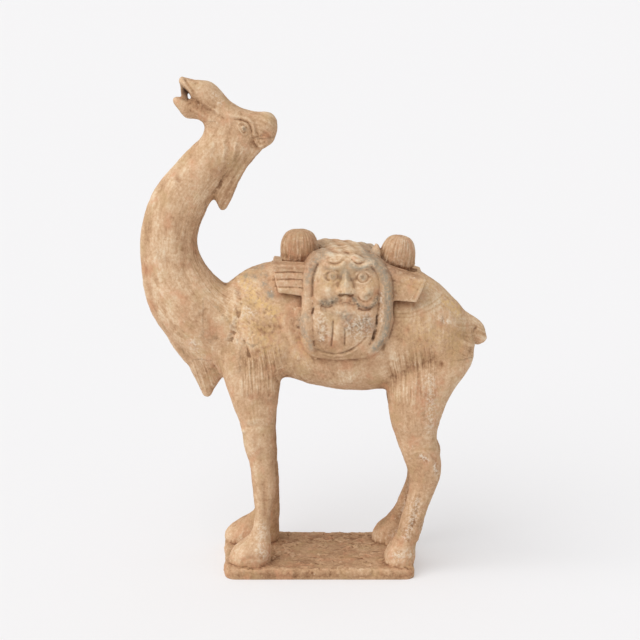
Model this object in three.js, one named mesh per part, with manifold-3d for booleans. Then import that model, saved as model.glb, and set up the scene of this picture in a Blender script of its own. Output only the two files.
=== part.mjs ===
// A standing pottery camel with its head thrown back, carrying a saddle pack, fired in one piece with its
// base slab. Millimetres, +Z up. The camel faces -X, and its left side faces -Y. The origin is the middle of
// the underside.
import * as THREE from "three";
import { mergeVertices } from "three/addons/utils/BufferGeometryUtils.js";
import Module from "manifold-3d";

const wasm = await Module();
wasm.setup();

// Driving dimensions
const BASE = { length: 190, depth: 114, height: 11, corner: 9, skew: 6, chip: 10, bevel: 1.5 };
const LEG_SPREAD = 33; // from the middle plane to the middle of a foot
const BAG = {
  left: [[-8, 225], [-19, 240], [-19.5, 262], [-17.5, 285], [-16, 310], [-3, 327]], // x, z of its edges
  right: [[50, 225], [65.5, 241], [71, 262], [70.8, 287], [67, 310], [50, 323]],
  face: 44, // from the middle plane to its rim
  rim: 6, // how far it swells within the rim
  bulge: 6.5, // and how much further towards its middle
  inner: 6, // its walls run back to this plane
};
const MASK = { x: 25, z: 291, halfWidth: 30 }; // the foot of its nose, and where it ends towards the straps
const BOARD = { inner: 24, outer: 47, groove: 1.6 };
const CLAY = { color: 0xc49c78, roughness: 0.92, metalness: 0 };
const DOME_RINGS = 2;

// A closed body swept through its stations. A station [x1, z1, x2, z2, wide, y] is one cross-section: two
// opposite points of the camel's side view, the half width across the camel, and how far its middle is from
// the middle plane. The cross-section is a superellipse of power `square`. `egg` widens it towards its second
// point and narrows it towards its first. Both ends are domed, `dome` mm out.
function limb(stations, { rings = 12, sides = 12, dome = [6, 6], square = 2.2, egg = 0 } = {}) {
  const curve = (pick) => new THREE.CatmullRomCurve3(stations.map(pick), false, "catmullrom", 0.5);
  const first = curve(([x1, z1, , , , y = 0]) => new THREE.Vector3(x1, y, z1));
  const second = curve(([, , x2, z2, , y = 0]) => new THREE.Vector3(x2, y, z2));
  const width = curve(([, , , , wide], i) => new THREE.Vector3(wide, i, 0));
  const points = [];
  const poles = [];
  for (let k = 1 - DOME_RINGS; k < rings + DOME_RINGS - 1; k += 1) {
    const t = THREE.MathUtils.clamp(k / (rings - 1), 0, 1);
    const past = Math.min(0, k) + Math.max(0, k - rings + 1); // how many rings beyond either end
    const turn = (Math.abs(past) / DOME_RINGS) * (Math.PI / 2);
    const [a, b] = [first.getPoint(t), second.getPoint(t)];
    const middle = a.clone().lerp(b, 0.5);
    const half = b.clone().sub(a).multiplyScalar(0.5);
    const along = new THREE.Vector3(-half.z, 0, half.x).normalize();
    if (along.dot(second.getTangent(t).add(first.getTangent(t))) < 0) along.negate();
    const end = past < 0 ? 0 : 1;
    middle.addScaledVector(along, Math.sign(past) * dome[end] * Math.sin(turn));
    if (k === 1 - DOME_RINGS || k === rings + DOME_RINGS - 2) {
      poles.push(middle.clone().addScaledVector(along, Math.sign(past) * dome[end] * (1 - Math.sin(turn))));
    }
    const wide = width.getPoint(t).x;
    // Seen along its path, every section runs the same way round.
    const hand = Math.sign(half.x * along.z - half.z * along.x);
    for (let i = 0; i < sides; i += 1) {
      const angle = (i / sides) * 2 * Math.PI;
      const c = power(Math.cos(angle), 2 / square) * Math.cos(turn);
      const s = power(Math.sin(angle), 2 / square) * Math.cos(turn);
      points.push(middle.x + half.x * c, middle.y + hand * wide * s * (1 + egg * c), middle.z + half.z * c);
    }
  }
  return closedSkin(points, sides, poles);
}

// Joins rings of points, one after another, into a closed body with a pole at each end.
function closedSkin(points, sides, [firstPole, lastPole]) {
  const rings = points.length / 3 / sides;
  const first = rings * sides;
  const lastRing = first - sides;
  const faces = [];
  for (let i = 0; i < sides; i += 1) {
    const next = (i + 1) % sides;
    for (let a = i, b = next; a < lastRing; a += sides, b += sides) {
      faces.push(a, b, b + sides, a, b + sides, a + sides);
    }
    faces.push(first, next, i, first + 1, lastRing + i, lastRing + next);
  }
  return solid([...points, ...firstPole.toArray(), ...lastPole.toArray()], faces);
}

function solid(points, faces) {
  return new wasm.Manifold(new wasm.Mesh({
    numProp: 3,
    vertProperties: new Float32Array(points),
    triVerts: new Uint32Array(faces),
  }));
}

// A three.js geometry as a solid, after a matrix moves it.
function solidOf(geometry, matrix = new THREE.Matrix4()) {
  const bare = geometry.index ? geometry.toNonIndexed() : geometry.clone();
  bare.deleteAttribute("normal");
  bare.deleteAttribute("uv");
  bare.applyMatrix4(matrix);
  const merged = mergeVertices(bare, 1e-3);
  return solid(merged.attributes.position.array, merged.index.array);
}

const power = (v, p) => Math.sign(v) * Math.abs(v) ** p;
const gauss = (d, size) => Math.exp(-((d / size) ** 2));
const rise = (low, high, v) => THREE.MathUtils.smoothstep(v, low, high);
const fade = (low, high, v) => 1 - rise(low, high, v);
const joined = (parts) => parts.reduce((whole, part) => whole.add(part));
const onBothSides = (make) => [make(-1), make(1)];

// The barrel of the body, from the chest to the rump: back line first, belly line second.
function torso() {
  return limb([
    [-114, 254, -124, 220, 17],
    [-99, 282, -109, 203, 29],
    [-84, 297, -90, 193, 36.5],
    [-64, 308, -67, 190, 42],
    [-38, 313, -36, 196, 45],
    [-5, 313, -5, 188, 46.5],
    [28, 313, 28, 183, 47],
    [62, 312, 60, 184, 46],
    [92, 306, 88, 190, 44],
    [115, 292, 113, 197, 40],
    [134, 274, 134, 207, 32],
    [149, 257, 146, 217, 20],
  ], { rings: 17, sides: 16, dome: [8, 6], egg: 0.12 });
}

// The neck rises out of the chest, swings forward and turns back under the head: throat line first, nape
// second.
function neck() {
  return limb([
    [-122, 206, -60, 262, 33],
    [-145, 230, -80, 281, 33.5],
    [-159, 252, -96, 291, 31],
    [-168, 277, -109, 303, 27.5],
    [-173, 301, -118, 317, 25],
    [-174, 326, -120.8, 331, 23.5],
    [-171, 350, -117.5, 349, 22.5],
    [-163.5, 375, -110, 368, 22],
    [-152, 393, -100, 384, 21.5],
    [-137, 410, -88, 398, 21],
    [-120, 430, -72, 413, 20],
    [-112.8, 445, -55, 428, 18],
    [-104, 459, -53, 447, 15],
  ], { rings: 19, sides: 14, dome: [10, 3] });
}

// A strip of long hair stands out as a keel down the front of the neck, and ends in a tuft under the chest.
function throatHair() {
  const strip = limb([
    [-121, 431.5, -110, 423, 5],
    [-139, 413, -127, 403, 7],
    [-155.5, 395.5, -143, 387, 8],
    [-167.5, 375.5, -153, 369, 8.5],
    [-175.5, 350, -160, 348, 9],
    [-178.8, 326, -162, 326, 9.5],
    [-177.8, 300, -160, 304, 10],
    [-173, 275, -155, 282, 10.5],
    [-164.5, 252, -146, 262, 11],
    [-150, 229, -132, 240, 11],
    [-136, 209, -118, 218, 10],
  ], { rings: 14, sides: 8, dome: [4, 5] });
  const tuft = limb([
    [-138, 224, -84, 224, 25],
    [-131.5, 204, -92, 204, 17],
    [-124.5, 189.5, -101, 189.5, 11.5],
    [-119, 179, -108.5, 179, 7],
  ], { rings: 6, sides: 12, dome: [4, 5.5] });
  return joined([strip, tuft]);
}

// The skull with its long upper lip, the lower jaw, and the tongue that stands between them, leaving a slot
// behind it.
function muzzle() {
  const skull = limb([
    [-44.5, 456, -51.5, 426, 14],
    [-59, 460, -65, 426, 17.5],
    [-76, 464, -82, 432, 18],
    [-89, 471.7, -98, 444, 15.5],
    [-97.8, 482.5, -109, 457, 13.5],
    [-106, 489.5, -118, 467, 13.5],
    [-116, 491.2, -125, 475, 12.5],
    [-125, 492, -130.5, 481.5, 11],
    [-134.5, 494.5, -136, 487, 8.5],
  ], { rings: 14, sides: 12, dome: [6, 2.5] });
  const jaw = limb([
    [-92, 462, -94, 432, 16],
    [-106, 466, -110, 446.5, 13.5],
    [-118, 470, -119.5, 453, 12],
    [-127, 471.5, -130, 454.3, 11.5],
    [-134, 474.5, -136.8, 462, 10.5],
    [-140.5, 475, -142, 468.5, 8.5],
  ], { rings: 8, sides: 12, dome: [4, 2] });
  const tongue = limb([
    [-136, 468, -127, 467, 6],
    [-136, 479, -128.5, 477, 5.5],
    [-137, 488, -131, 487, 5],
  ], { rings: 4, sides: 8, dome: [2, 2] });
  return joined([skull, jaw, tongue]);
}

// The long tuft that hangs behind the poll, the ears laid back, and the lidded eyes.
function headHairAndSenses() {
  const mane = limb([
    [-90, 442, -47, 432, 14.5],
    [-98, 424, -59, 419.5, 15],
    [-104, 404, -71, 405, 13.5],
    [-106, 388, -79.5, 391, 11.5],
    [-104, 376.5, -86, 377.5, 8.5],
    [-100, 367.5, -91, 367.5, 5],
  ], { rings: 10, sides: 12, dome: [4, 4.5] });
  const ear = (side) => limb([
    [-66, 437, -65, 431, 4, side * 13],
    [-60, 440, -58, 428, 5, side * 15.5],
    [-53, 441, -51.5, 430.5, 4, side * 16],
    [-47.5, 440, -47.5, 436, 2.5, side * 14.5],
  ], { rings: 6, sides: 8, dome: [2, 1.5] });
  const eye = (side) => limb([
    [-81, 451.5, -82, 449.5, 2, side * 15],
    [-73, 452, -79, 441, 4, side * 15.5],
    [-70, 443, -73, 438.5, 2, side * 15.5],
  ], { rings: 6, sides: 8, dome: [1.5, 1.5] });
  return joined([mane, ...onBothSides(ear), ...onBothSides(eye)]);
}

// A front leg, from the shoulder to the pastern: shin line first, back of the leg second.
function frontLeg(side) {
  const y = (share) => side * LEG_SPREAD * share;
  const below = side < 0
    ? [
      [-68.5, 90, -44, 90, 11.5, y(0.97)],
      [-66.3, 72, -46.5, 72, 10.5, y(0.98)],
      [-66, 56, -49.5, 56, 10, y(1)],
      [-71, 38, -49.5, 38, 12, y(1)],
    ]
    : [
      [-67.5, 90, -43.7, 90, 11.5, y(0.97)],
      [-64.5, 72, -43, 72, 10.5, y(0.98)],
      [-64.5, 56, -42.3, 56, 10.5, y(1)],
      [-73, 38, -42, 37, 12.5, y(1)],
    ];
  return limb([
    [-106, 243, -42, 237, 20, y(0.5)],
    [-101, 213, -38.5, 206, 21.5, y(0.68)],
    [-92.5, 189, -39.5, 188, 19.5, y(0.8)],
    [-86, 172, -42, 172, 16.8, y(0.88)],
    [-79, 153, -44.8, 153, 14.8, y(0.92)],
    [-75.8, 131, -45.2, 131, 13.8, y(0.94)],
    [-70.2, 110, -44.8, 110, 12.5, y(0.96)],
    ...below,
  ], { rings: 14, sides: 12, dome: [10, 4] });
}

// A hind leg: the thigh, the hock that stands out behind, and the shank that slopes forward to the pastern.
function hindLeg(side) {
  const y = (share) => side * LEG_SPREAD * share;
  const below = side < 0
    ? [
      [81, 124, 119.5, 125, 13, y(0.92)],
      [86.5, 109, 122, 110, 12.8, y(0.93)],
      [90, 93, 119.5, 95, 11.8, y(0.94)],
      [87, 76, 113, 79, 11, y(0.96)],
      [82, 60, 107, 62, 10.8, y(0.98)],
      [76.5, 43, 103.5, 46, 11.5, y(1)],
      [71.5, 33, 101, 35, 13, y(1)],
    ]
    : [
      [78.5, 124, 118.5, 125, 13, y(0.92)],
      [83, 109, 125.5, 110, 12.8, y(0.93)],
      [90.2, 92, 121, 94, 11.8, y(0.94)],
      [90, 77, 113.5, 79, 11, y(0.96)],
      [84, 61, 107, 63, 10.8, y(0.98)],
      [77, 46, 100, 48, 11.5, y(1)],
      [68, 34, 93, 36, 13, y(1)],
    ];
  return limb([
    [86, 244, 155, 232, 18, y(0.45)],
    [73, 214, 150, 212, 21.5, y(0.62)],
    [67, 191, 135, 191, 20.5, y(0.77)],
    [67.5, 172, 124.8, 172, 18, y(0.86)],
    [71.2, 152, 118.3, 153, 15.5, y(0.9)],
    [75.3, 138, 117, 139, 13.8, y(0.9)],
    ...below,
  ], { rings: 17, sides: 12, dome: [8, 4] });
}

// A broad padded foot stands on the slab, sunk 1 mm into it, and slopes up from its toe to the pastern.
// `toe` and `heel` are x where the foot is widest, and `ankle` is x of the front of the pastern.
function foot(side, toe, heel, ankle, wide) {
  const y = side * LEG_SPREAD;
  const sole = BASE.height - 1;
  const slope = (share) => THREE.MathUtils.lerp(toe, ankle, share);
  return limb([
    [slope(0.03), sole, heel - 1, sole, wide * 0.97, y],
    [toe, sole + 6, heel, sole + 6, wide, y],
    [slope(0.2), sole + 14, heel, sole + 14, wide * 0.94, y],
    [slope(0.55), sole + 21, heel, sole + 21, wide * 0.82, y],
    [slope(1), sole + 28, heel, sole + 29, wide * 0.66, y],
  ], { rings: 6, sides: 12, dome: [0.8, 3] });
}

// A hump is a round tuft with a flat top, slightly narrower at its foot, that leans `lean` degrees towards
// the tail.
function hump(x, z, height, radius, lean) {
  const rings = 6;
  const sunk = 14;
  const profile = [new THREE.Vector2(0, -sunk), new THREE.Vector2(radius * 0.8, -sunk)];
  for (let k = 0; k <= rings; k += 1) {
    const turn = (k / rings) * (Math.PI / 2);
    const r = radius * power(Math.cos(turn), 0.55) * (0.91 + 0.09 * Math.sin(2 * turn));
    profile.push(new THREE.Vector2(k === rings ? 0 : r, height * power(Math.sin(turn), 0.9)));
  }
  const place = new THREE.Matrix4().makeTranslation(x, 0, z)
    .multiply(new THREE.Matrix4().makeRotationY(THREE.MathUtils.degToRad(lean)))
    .multiply(new THREE.Matrix4().makeScale(1, 0.92, 1))
    .multiply(new THREE.Matrix4().makeRotationX(Math.PI / 2));
  return solidOf(new THREE.LatheGeometry(profile, 16), place);
}

// The ends of the pack boards, slats laid side by side, that show beyond the bag on one side. `corners` are
// x, z points, from the top left, clockwise as the camel's left side is seen. `slats` is how many slats they
// show, and `drop` is how much lower they lie.
function boards(side, corners, slats, drop) {
  const thick = BOARD.outer - BOARD.inner;
  const outline = new THREE.Shape(corners.toReversed().map(([x, z]) => new THREE.Vector2(x, z - drop)));
  const slab = new THREE.ExtrudeGeometry(outline, { depth: thick, bevelEnabled: false });
  // The extrusion runs along +Z, and is turned to run along -Y, out from the plane given.
  const stand = (y) => new THREE.Matrix4().makeTranslation(0, y, 0)
    .multiply(new THREE.Matrix4().makeRotationX(Math.PI / 2));
  let made = solidOf(slab, stand(side < 0 ? -BOARD.inner : BOARD.outer));
  const [[left, topLeft], [right, topRight], , [, lowLeft]] = corners;
  const tilt = Math.atan2(topRight - topLeft, right - left);
  for (let k = 1; k < slats; k += 1) {
    const z = (topLeft + topRight) / 2 + ((lowLeft - topLeft) * k) / slats - drop;
    const place = new THREE.Matrix4().makeTranslation((left + right) / 2, side * BOARD.outer, z)
      .multiply(new THREE.Matrix4().makeRotationY(-tilt))
      .multiply(new THREE.Matrix4().makeRotationX(Math.PI / 4));
    const groove = new THREE.BoxGeometry(2 * (right - left), BOARD.groove, BOARD.groove);
    made = made.subtract(solidOf(groove, place));
  }
  return made;
}

// Heights of the guardian mask on the bag, in mm, at u mm right of and v mm above the foot of its nose.
// Brow, eye, cheek and whisker are the same on both halves. The nose, jaw and tongue stand in the middle.
function maskHeight(u, v) {
  const out = Math.abs(u);
  const brow = 2.8 * gauss(v - 25 - 1.6 * Math.sin(out / 3.6), 3) * rise(1, 4, out) * fade(22, 28, out);
  const eye = 3.4 * gauss(Math.hypot(out - 15, v - 14), 4.6);
  const cheek = 4.2 * gauss(Math.hypot(out - 21, v + 1), 8);
  const whisker = 2.4 * gauss(v + 10 + 5 * Math.sin((out - 4) / 8), 3) * rise(2, 6, out) * fade(24, 29, out);
  const noseHalf = Math.max(2, 9.5 - Math.max(0, v) * 0.42);
  const nose = 6.5 * Math.max(0, 1 - out / noseHalf) * fade(2, 24, v) * rise(-3, 0, v);
  const jaw = 2.6 * gauss(Math.hypot(out * 0.7, v + 34), 16);
  return brow + eye + cheek + whisker + nose + jaw;
}

// One side of the saddle bag: a bulging panel between a left and a right edge, a strap down each of them, and
// the mask.
function bagSide(side) {
  const [columns, rows] = side < 0 ? [26, 26] : [17, 17];
  const edge = (knots) => new THREE.SplineCurve(knots.map(([x, z]) => new THREE.Vector2(x, z)));
  const [left, right] = [edge(BAG.left), edge(BAG.right)];
  const points = [];
  for (let r = 0; r <= rows; r += 1) {
    const v = (r / rows) * 2 - 1;
    const [from, to] = [left.getPoint(r / rows), right.getPoint(r / rows)];
    for (let c = 0; c <= columns; c += 1) {
      const u = (c / columns) * 2 - 1;
      const { x, y: level } = from.clone().lerp(to, c / columns);
      const z = level + 3 * v ** 3 * (1 - u ** 2); // its top and foot bow out
      const rounded = BAG.rim * Math.sqrt((1 - u ** 6) * (1 - v ** 6));
      const bulge = BAG.bulge * (1 - u ** 2) * (1 - v ** 2);
      const strap = 2.6 * gauss(Math.abs(u) - 0.87, 0.08) - 1.8 * gauss(Math.abs(u) - 0.73, 0.05);
      const out = Math.abs(x - MASK.x) / MASK.halfWidth;
      const mask = maskHeight(x - MASK.x, z - MASK.z) * fade(0.9, 1, out) * fade(0.88, 0.98, Math.abs(v));
      const onEdge = r === rows || r === 0 || c === 0 || c === columns;
      const relief = rounded + bulge + strap * (1 - v ** 8) + mask;
      points.push(x, side * (BAG.face + (onEdge ? 0 : relief)), z);
    }
  }
  // Walls run from the rim of the panel back to one point inside the camel's body.
  const back = points.length / 3;
  const centre = left.getPoint(0.5).lerp(right.getPoint(0.5), 0.5);
  points.push(centre.x, side * BAG.inner, centre.y);
  const at = (r, c) => r * (columns + 1) + c;
  const faces = [];
  const face = (a, b, c) => faces.push(a, ...(side < 0 ? [b, c] : [c, b]));
  for (let r = 0; r < rows; r += 1) {
    for (let c = 0; c < columns; c += 1) {
      face(at(r, c), at(r, c + 1), at(r + 1, c + 1));
      face(at(r, c), at(r + 1, c + 1), at(r + 1, c));
    }
    face(at(r, 0), at(r + 1, 0), back);
    face(at(r + 1, columns), at(r, columns), back);
  }
  for (let c = 0; c < columns; c += 1) {
    face(at(0, c + 1), at(0, c), back);
    face(at(rows, c), at(rows, c + 1), back);
  }
  return solid(points, faces);
}

// The bags, the cloth that joins them over the back, with its one upright lobe, and the boards before and
// behind.
function pack() {
  const cloth = limb([
    [-14, 317, -14, 282, 44],
    [-3, 322, -3, 282, 46],
    [9, 328, 9, 282, 46.5],
    [26, 329.5, 26, 282, 46.5],
    [42, 326.5, 42, 282, 46.5],
    [54, 320, 54, 282, 46],
    [66, 314, 66, 282, 44],
  ], { rings: 9, sides: 14, dome: [4, 4], square: 3.2 });
  const lobe = limb([
    [49, 308, 62, 308, 9, -6],
    [49.5, 322, 61, 323, 8, -6],
    [54, 329.5, 58, 330, 4, -6],
  ], { rings: 4, sides: 8, dome: [1, 1.5] });
  const fore = [[-47.5, 318], [-14, 316], [-14, 286], [-40.5, 289]];
  const aft = [[66, 314.5], [102.5, 302], [93.5, 280], [66, 282]];
  return joined([
    cloth, lobe, ...onBothSides(bagSide),
    boards(-1, fore, 4, 0), boards(1, fore, 4, 7.5),
    boards(-1, aft, 2, 0), boards(1, aft, 2, 3),
  ]);
}

function tail() {
  return limb([
    [128, 266, 132, 244, 12],
    [151, 259, 144, 238, 10],
    [164, 249, 149, 233, 8.5],
    [168.5, 237, 155, 228, 7.5],
  ], { rings: 6, sides: 10, dome: [4, 4] });
}

// A flat slab. Its head end is wider at the far side, and the two corners at the near side are broken off.
function baseSlab() {
  const { length, depth, height, corner, skew, chip, bevel } = BASE;
  const [x, y] = [length / 2, depth / 2];
  const outline = new THREE.Shape();
  outline.moveTo(-x, -y + chip);
  outline.lineTo(-x + chip, -y);
  outline.lineTo(x - chip, -y);
  outline.lineTo(x, -y + chip);
  outline.lineTo(x, y - corner);
  outline.quadraticCurveTo(x, y, x - corner, y);
  outline.lineTo(-x - skew + corner, y);
  outline.quadraticCurveTo(-x - skew, y, -x - skew, y - corner);
  const slab = new THREE.ExtrudeGeometry(outline, {
    depth: height - bevel,
    bevelThickness: bevel,
    bevelSize: bevel,
    bevelOffset: -bevel,
    bevelSegments: 1,
    curveSegments: 4,
  });
  // The lower bevel, which lies under z = 0, is cut off, so that the slab stands flat.
  const under = new THREE.BoxGeometry(4 * length, 4 * depth, 2 * height);
  return solidOf(slab).subtract(solidOf(under, new THREE.Matrix4().makeTranslation(0, 0, -height)));
}

const figure = joined([
  baseSlab(),
  torso(),
  neck(),
  throatHair(),
  muzzle(),
  headHairAndSenses(),
  ...onBothSides(frontLeg),
  ...onBothSides(hindLeg),
  foot(-1, -92, -49, -72, 19),
  foot(1, -101, -43, -76, 19),
  foot(-1, 64.5, 97, 76, 18),
  foot(1, 54, 88, 74, 18),
  hump(-20.3, 314, 31, 20.4, 0),
  hump(75.5, 309, 30.5, 19, 9),
  pack(),
  tail(),
]);

function meshOf(name, made) {
  const { numProp, vertProperties, triVerts } = made.getMesh();
  const geometry = new THREE.BufferGeometry();
  geometry.setAttribute("position", new THREE.BufferAttribute(vertProperties, numProp));
  geometry.setIndex(new THREE.BufferAttribute(triVerts, 1));
  geometry.computeVertexNormals();
  const mesh = new THREE.Mesh(geometry, new THREE.MeshStandardMaterial(CLAY));
  mesh.name = name;
  return mesh;
}

const camel = new THREE.Group();
camel.add(meshOf("camel_figure", figure));

export default camel;
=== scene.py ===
# A standing pottery camel with its head thrown back, carrying a saddle pack, fired in one piece with its base slab.
# The camel faces -X and its left side faces -Y. Its forms are worked out in millimetres and put into the mesh in metres.
import itertools

import bpy
import numpy as np
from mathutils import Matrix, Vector


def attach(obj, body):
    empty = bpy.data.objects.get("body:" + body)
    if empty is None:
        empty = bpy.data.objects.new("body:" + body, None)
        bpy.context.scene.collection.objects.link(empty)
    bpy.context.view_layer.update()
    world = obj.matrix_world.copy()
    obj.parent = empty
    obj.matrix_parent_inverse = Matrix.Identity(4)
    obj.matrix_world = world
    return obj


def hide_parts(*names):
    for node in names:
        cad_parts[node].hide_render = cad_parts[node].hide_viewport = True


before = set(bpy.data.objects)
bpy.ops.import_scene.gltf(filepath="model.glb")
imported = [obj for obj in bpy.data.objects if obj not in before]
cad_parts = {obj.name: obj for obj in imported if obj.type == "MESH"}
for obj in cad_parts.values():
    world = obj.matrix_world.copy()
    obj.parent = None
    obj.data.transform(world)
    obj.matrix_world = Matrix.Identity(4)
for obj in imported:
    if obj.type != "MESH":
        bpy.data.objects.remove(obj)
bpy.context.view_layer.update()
metre = 0.001  # one millimetre in metres

# ---- camera, floor and light
studio = {
    "target": (0, 0, 0.253),
    "cameraAt": (0, -1.5650, 0.5857),
    "lens": 90,
    "floorRadius": 60,
    "floorColour": (0.56, 0.557, 0.565),
    "floorGlow": 0.32,  # the paper is lit from behind too, which thins the shadow on it
    "world": 0.62,
    "sunFrom": (-1.5, -1.25, 1.8),
    "sunStrength": 2.1,
    "sunAngle": 70,  # degrees across, so that its shadows are soft
}
scene = bpy.context.scene


def aim(obj, target):
    # turns obj so that it looks along its own -Z at the target
    obj.rotation_euler = (Vector(target) - obj.location).to_track_quat("-Z", "Y").to_euler()


lens = bpy.data.cameras.new("camera")
lens.lens = studio["lens"]
lens.clip_end = 200
camera = bpy.data.objects.new("camera", lens)
camera.location = studio["cameraAt"]
aim(camera, studio["target"])
scene.collection.objects.link(camera)
scene.camera = camera

lamp = bpy.data.lights.new("window", "SUN")
lamp.energy = studio["sunStrength"]
lamp.angle = np.radians(studio["sunAngle"])
window = bpy.data.objects.new("window", lamp)
window.location = studio["sunFrom"]
aim(window, (0, 0, 0))
scene.collection.objects.link(window)

world = bpy.data.worlds.new("paleRoom")
world.use_nodes = True
world.node_tree.nodes["Background"].inputs["Color"].default_value = (1, 0.995, 0.99, 1)
world.node_tree.nodes["Background"].inputs["Strength"].default_value = studio["world"]
scene.world = world
scene.view_settings.view_transform = "Standard"

# ---- small tools


def power(v, p):
    return np.sign(v) * np.abs(v) ** p


def bell(d, size):
    return np.exp(-((d / size) ** 2))


def rise(low, high, v):
    # 0 below low, 1 above high, and a smooth step between
    t = np.clip((v - low) / (high - low), 0, 1)
    return t * t * (3 - 2 * t)


def fade(low, high, v):
    return 1 - rise(low, high, v)


def spline(knots, t):
    # Catmull-Rom: a cubic between each two knots, whose slope at a knot is half the step between its neighbours
    knots = np.asarray(knots, float)
    last = len(knots) - 1
    padded = np.vstack([2 * knots[0] - knots[1], knots, 2 * knots[-1] - knots[-2]])
    place = np.clip(np.asarray(t, float) * last, 0, last)
    i = np.minimum(place.astype(int), last - 1)
    f = (place - i)[:, None]
    a, b, c, d = (padded[i + k] for k in range(4))
    return 0.5 * (2 * b + (c - a) * f + (2 * a - 5 * b + 4 * c - d) * f**2 + (3 * b - a - 3 * c + d) * f**3)


def grain(points, size, seed):
    # smooth noise from -1 to 1: each corner of a lattice of cubes has a hashed value, and they blend between corners
    p = points / size
    corner = np.floor(p)
    f = p - corner
    f = f * f * (3 - 2 * f)
    corner = corner.astype(np.int64).astype(np.uint32)
    total = np.zeros(len(points))
    for step in itertools.product((0, 1), repeat=3):
        h = np.full(len(points), (seed * 144269 + 7) & 0xFFFFFFFF, np.uint32)
        weight = np.ones(len(points))
        for axis, prime in enumerate((374761393, 668265263, 2246822519)):
            h = (h ^ (corner[:, axis] + np.uint32(step[axis]))) * np.uint32(prime)
            h = h ^ (h >> np.uint32(13))
            weight = weight * (f[:, axis] if step[axis] else 1 - f[:, axis])
        total += weight * ((h & np.uint32(0xFFFF)) / 32767.5 - 1)
    return total


def rough(points, size, seed, octaves=3, keep=0.5):
    # octaves of grain, each half the size of the last and `keep` as strong
    return sum(keep**k * grain(points, size * 0.5**k, seed + 31 * k) for k in range(octaves))


def nearestOn(path, x, z):
    # distance from each point to a path of straight stretches, how far along it lies from 0 to 1, and its side
    path = np.asarray(path, float)
    steps = np.diff(path, axis=0)
    lengths = np.hypot(*steps.T)
    before = np.concatenate([[0], np.cumsum(lengths)])
    best = np.full(len(x), np.inf)
    share = np.zeros(len(x))
    hand = np.ones(len(x))
    for (ax, az), (dx, dz), length, start in zip(path, steps, lengths, before):
        t = np.clip(((x - ax) * dx + (z - az) * dz) / length**2, 0, 1)
        gap = np.hypot(x - ax - t * dx, z - az - t * dz)
        closer = gap < best
        best = np.where(closer, gap, best)
        share = np.where(closer, (start + t * length) / before[-1], share)
        hand = np.where(closer, np.sign(dx * (z - az) - dz * (x - ax)), hand)
    return best, share, hand


def smoothPath(path, count=24):
    return spline(path, np.linspace(0, 1, count))


def stroke(x, z, path, width, height, blunt=0.12):
    # a ridge, or a groove where height is below 0, along a path: a bell across it, tapering over `blunt` of its length
    path = smoothPath(path) if len(path) > 2 else np.asarray(path, float)
    reach = 3 * width
    low, high = path.min(0) - reach, path.max(0) + reach
    out = np.zeros(len(x))
    near = np.flatnonzero((x > low[0]) & (x < high[0]) & (z > low[1]) & (z < high[1]))
    gap, share, _ = nearestOn(path, x[near], z[near])
    out[near] = height * bell(gap, width) * rise(-0.02, blunt, share) * fade(1 - blunt, 1.02, share)
    return out


# ---- closed forms: each is points, quads and triangles


def limb(stations, rings=70, sides=56, dome=(6, 6), square=2.2, egg=0.0):
    # A body swept through stations (x1, z1, x2, z2, half width, y): two opposite points of the side view, a half width
    # and a distance from the middle plane. Each section is a superellipse of power `square`, wider towards its second
    # point by `egg`, and both ends are domed.
    domeRings = 8
    rows = np.array([list(s) + [0] * (6 - len(s)) for s in stations], float)
    k = np.arange(1 - domeRings, rings + domeRings - 1)
    t = np.clip(k / (rings - 1), 0, 1)
    past = np.minimum(0, k) + np.maximum(0, k - rings + 1)
    turn = np.abs(past) / domeRings * np.pi / 2
    mid = spline((rows[:, :2] + rows[:, 2:4]) / 2, t)
    half = spline((rows[:, 2:4] - rows[:, :2]) / 2, t)
    wide, y = spline(rows[:, 4:6], t).T
    along = np.stack([-half[:, 1], half[:, 0]], 1)
    along /= np.linalg.norm(along, axis=1, keepdims=True)
    ahead = spline((rows[:, :2] + rows[:, 2:4]) / 2, np.minimum(t + 0.01, 1))
    behind = spline((rows[:, :2] + rows[:, 2:4]) / 2, np.maximum(t - 0.01, 0))
    along *= np.sign(np.sum(along * (ahead - behind), 1))[:, None]
    reach = np.where(past < 0, dome[0], dome[1])
    mid = mid + along * (np.sign(past) * reach * np.sin(turn))[:, None]
    hand = np.sign(half[:, 0] * along[:, 1] - half[:, 1] * along[:, 0])
    angle = np.arange(sides) / sides * 2 * np.pi
    c = power(np.cos(angle), 2 / square) * np.cos(turn)[:, None]
    s = power(np.sin(angle), 2 / square) * np.cos(turn)[:, None]
    x = mid[:, :1] + half[:, :1] * c
    z = mid[:, 1:] + half[:, 1:] * c
    across = y[:, None] + (hand * wide)[:, None] * s * (1 + egg * c)
    points = np.stack([x, across, z], 2)
    left = np.sin(np.pi / 2) - np.sin(turn[0])
    poles = [[mid[0, 0] - along[0, 0] * dome[0] * left, y[0], mid[0, 1] - along[0, 1] * dome[0] * left],
             [mid[-1, 0] + along[-1, 0] * dome[1] * left, y[-1], mid[-1, 1] + along[-1, 1] * dome[1] * left]]
    return tube(points, poles)


def tube(points, poles):
    # rings of points, one after another, joined by quads and closed by a pole at each end
    rings, sides = points.shape[:2]
    i = np.arange(sides)
    after = (i + 1) % sides
    start = (np.arange(rings - 1) * sides)[:, None]
    quads = np.stack([start + i, start + after, start + sides + after, start + sides + i], 2).reshape(-1, 4)
    first = rings * sides
    lastRing = first - sides
    caps = np.concatenate([
        np.stack([np.full(sides, first), after, i], 1),
        np.stack([np.full(sides, first + 1), lastRing + i, lastRing + after], 1),
    ])
    return np.concatenate([points.reshape(-1, 3), poles]), quads, caps


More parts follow.
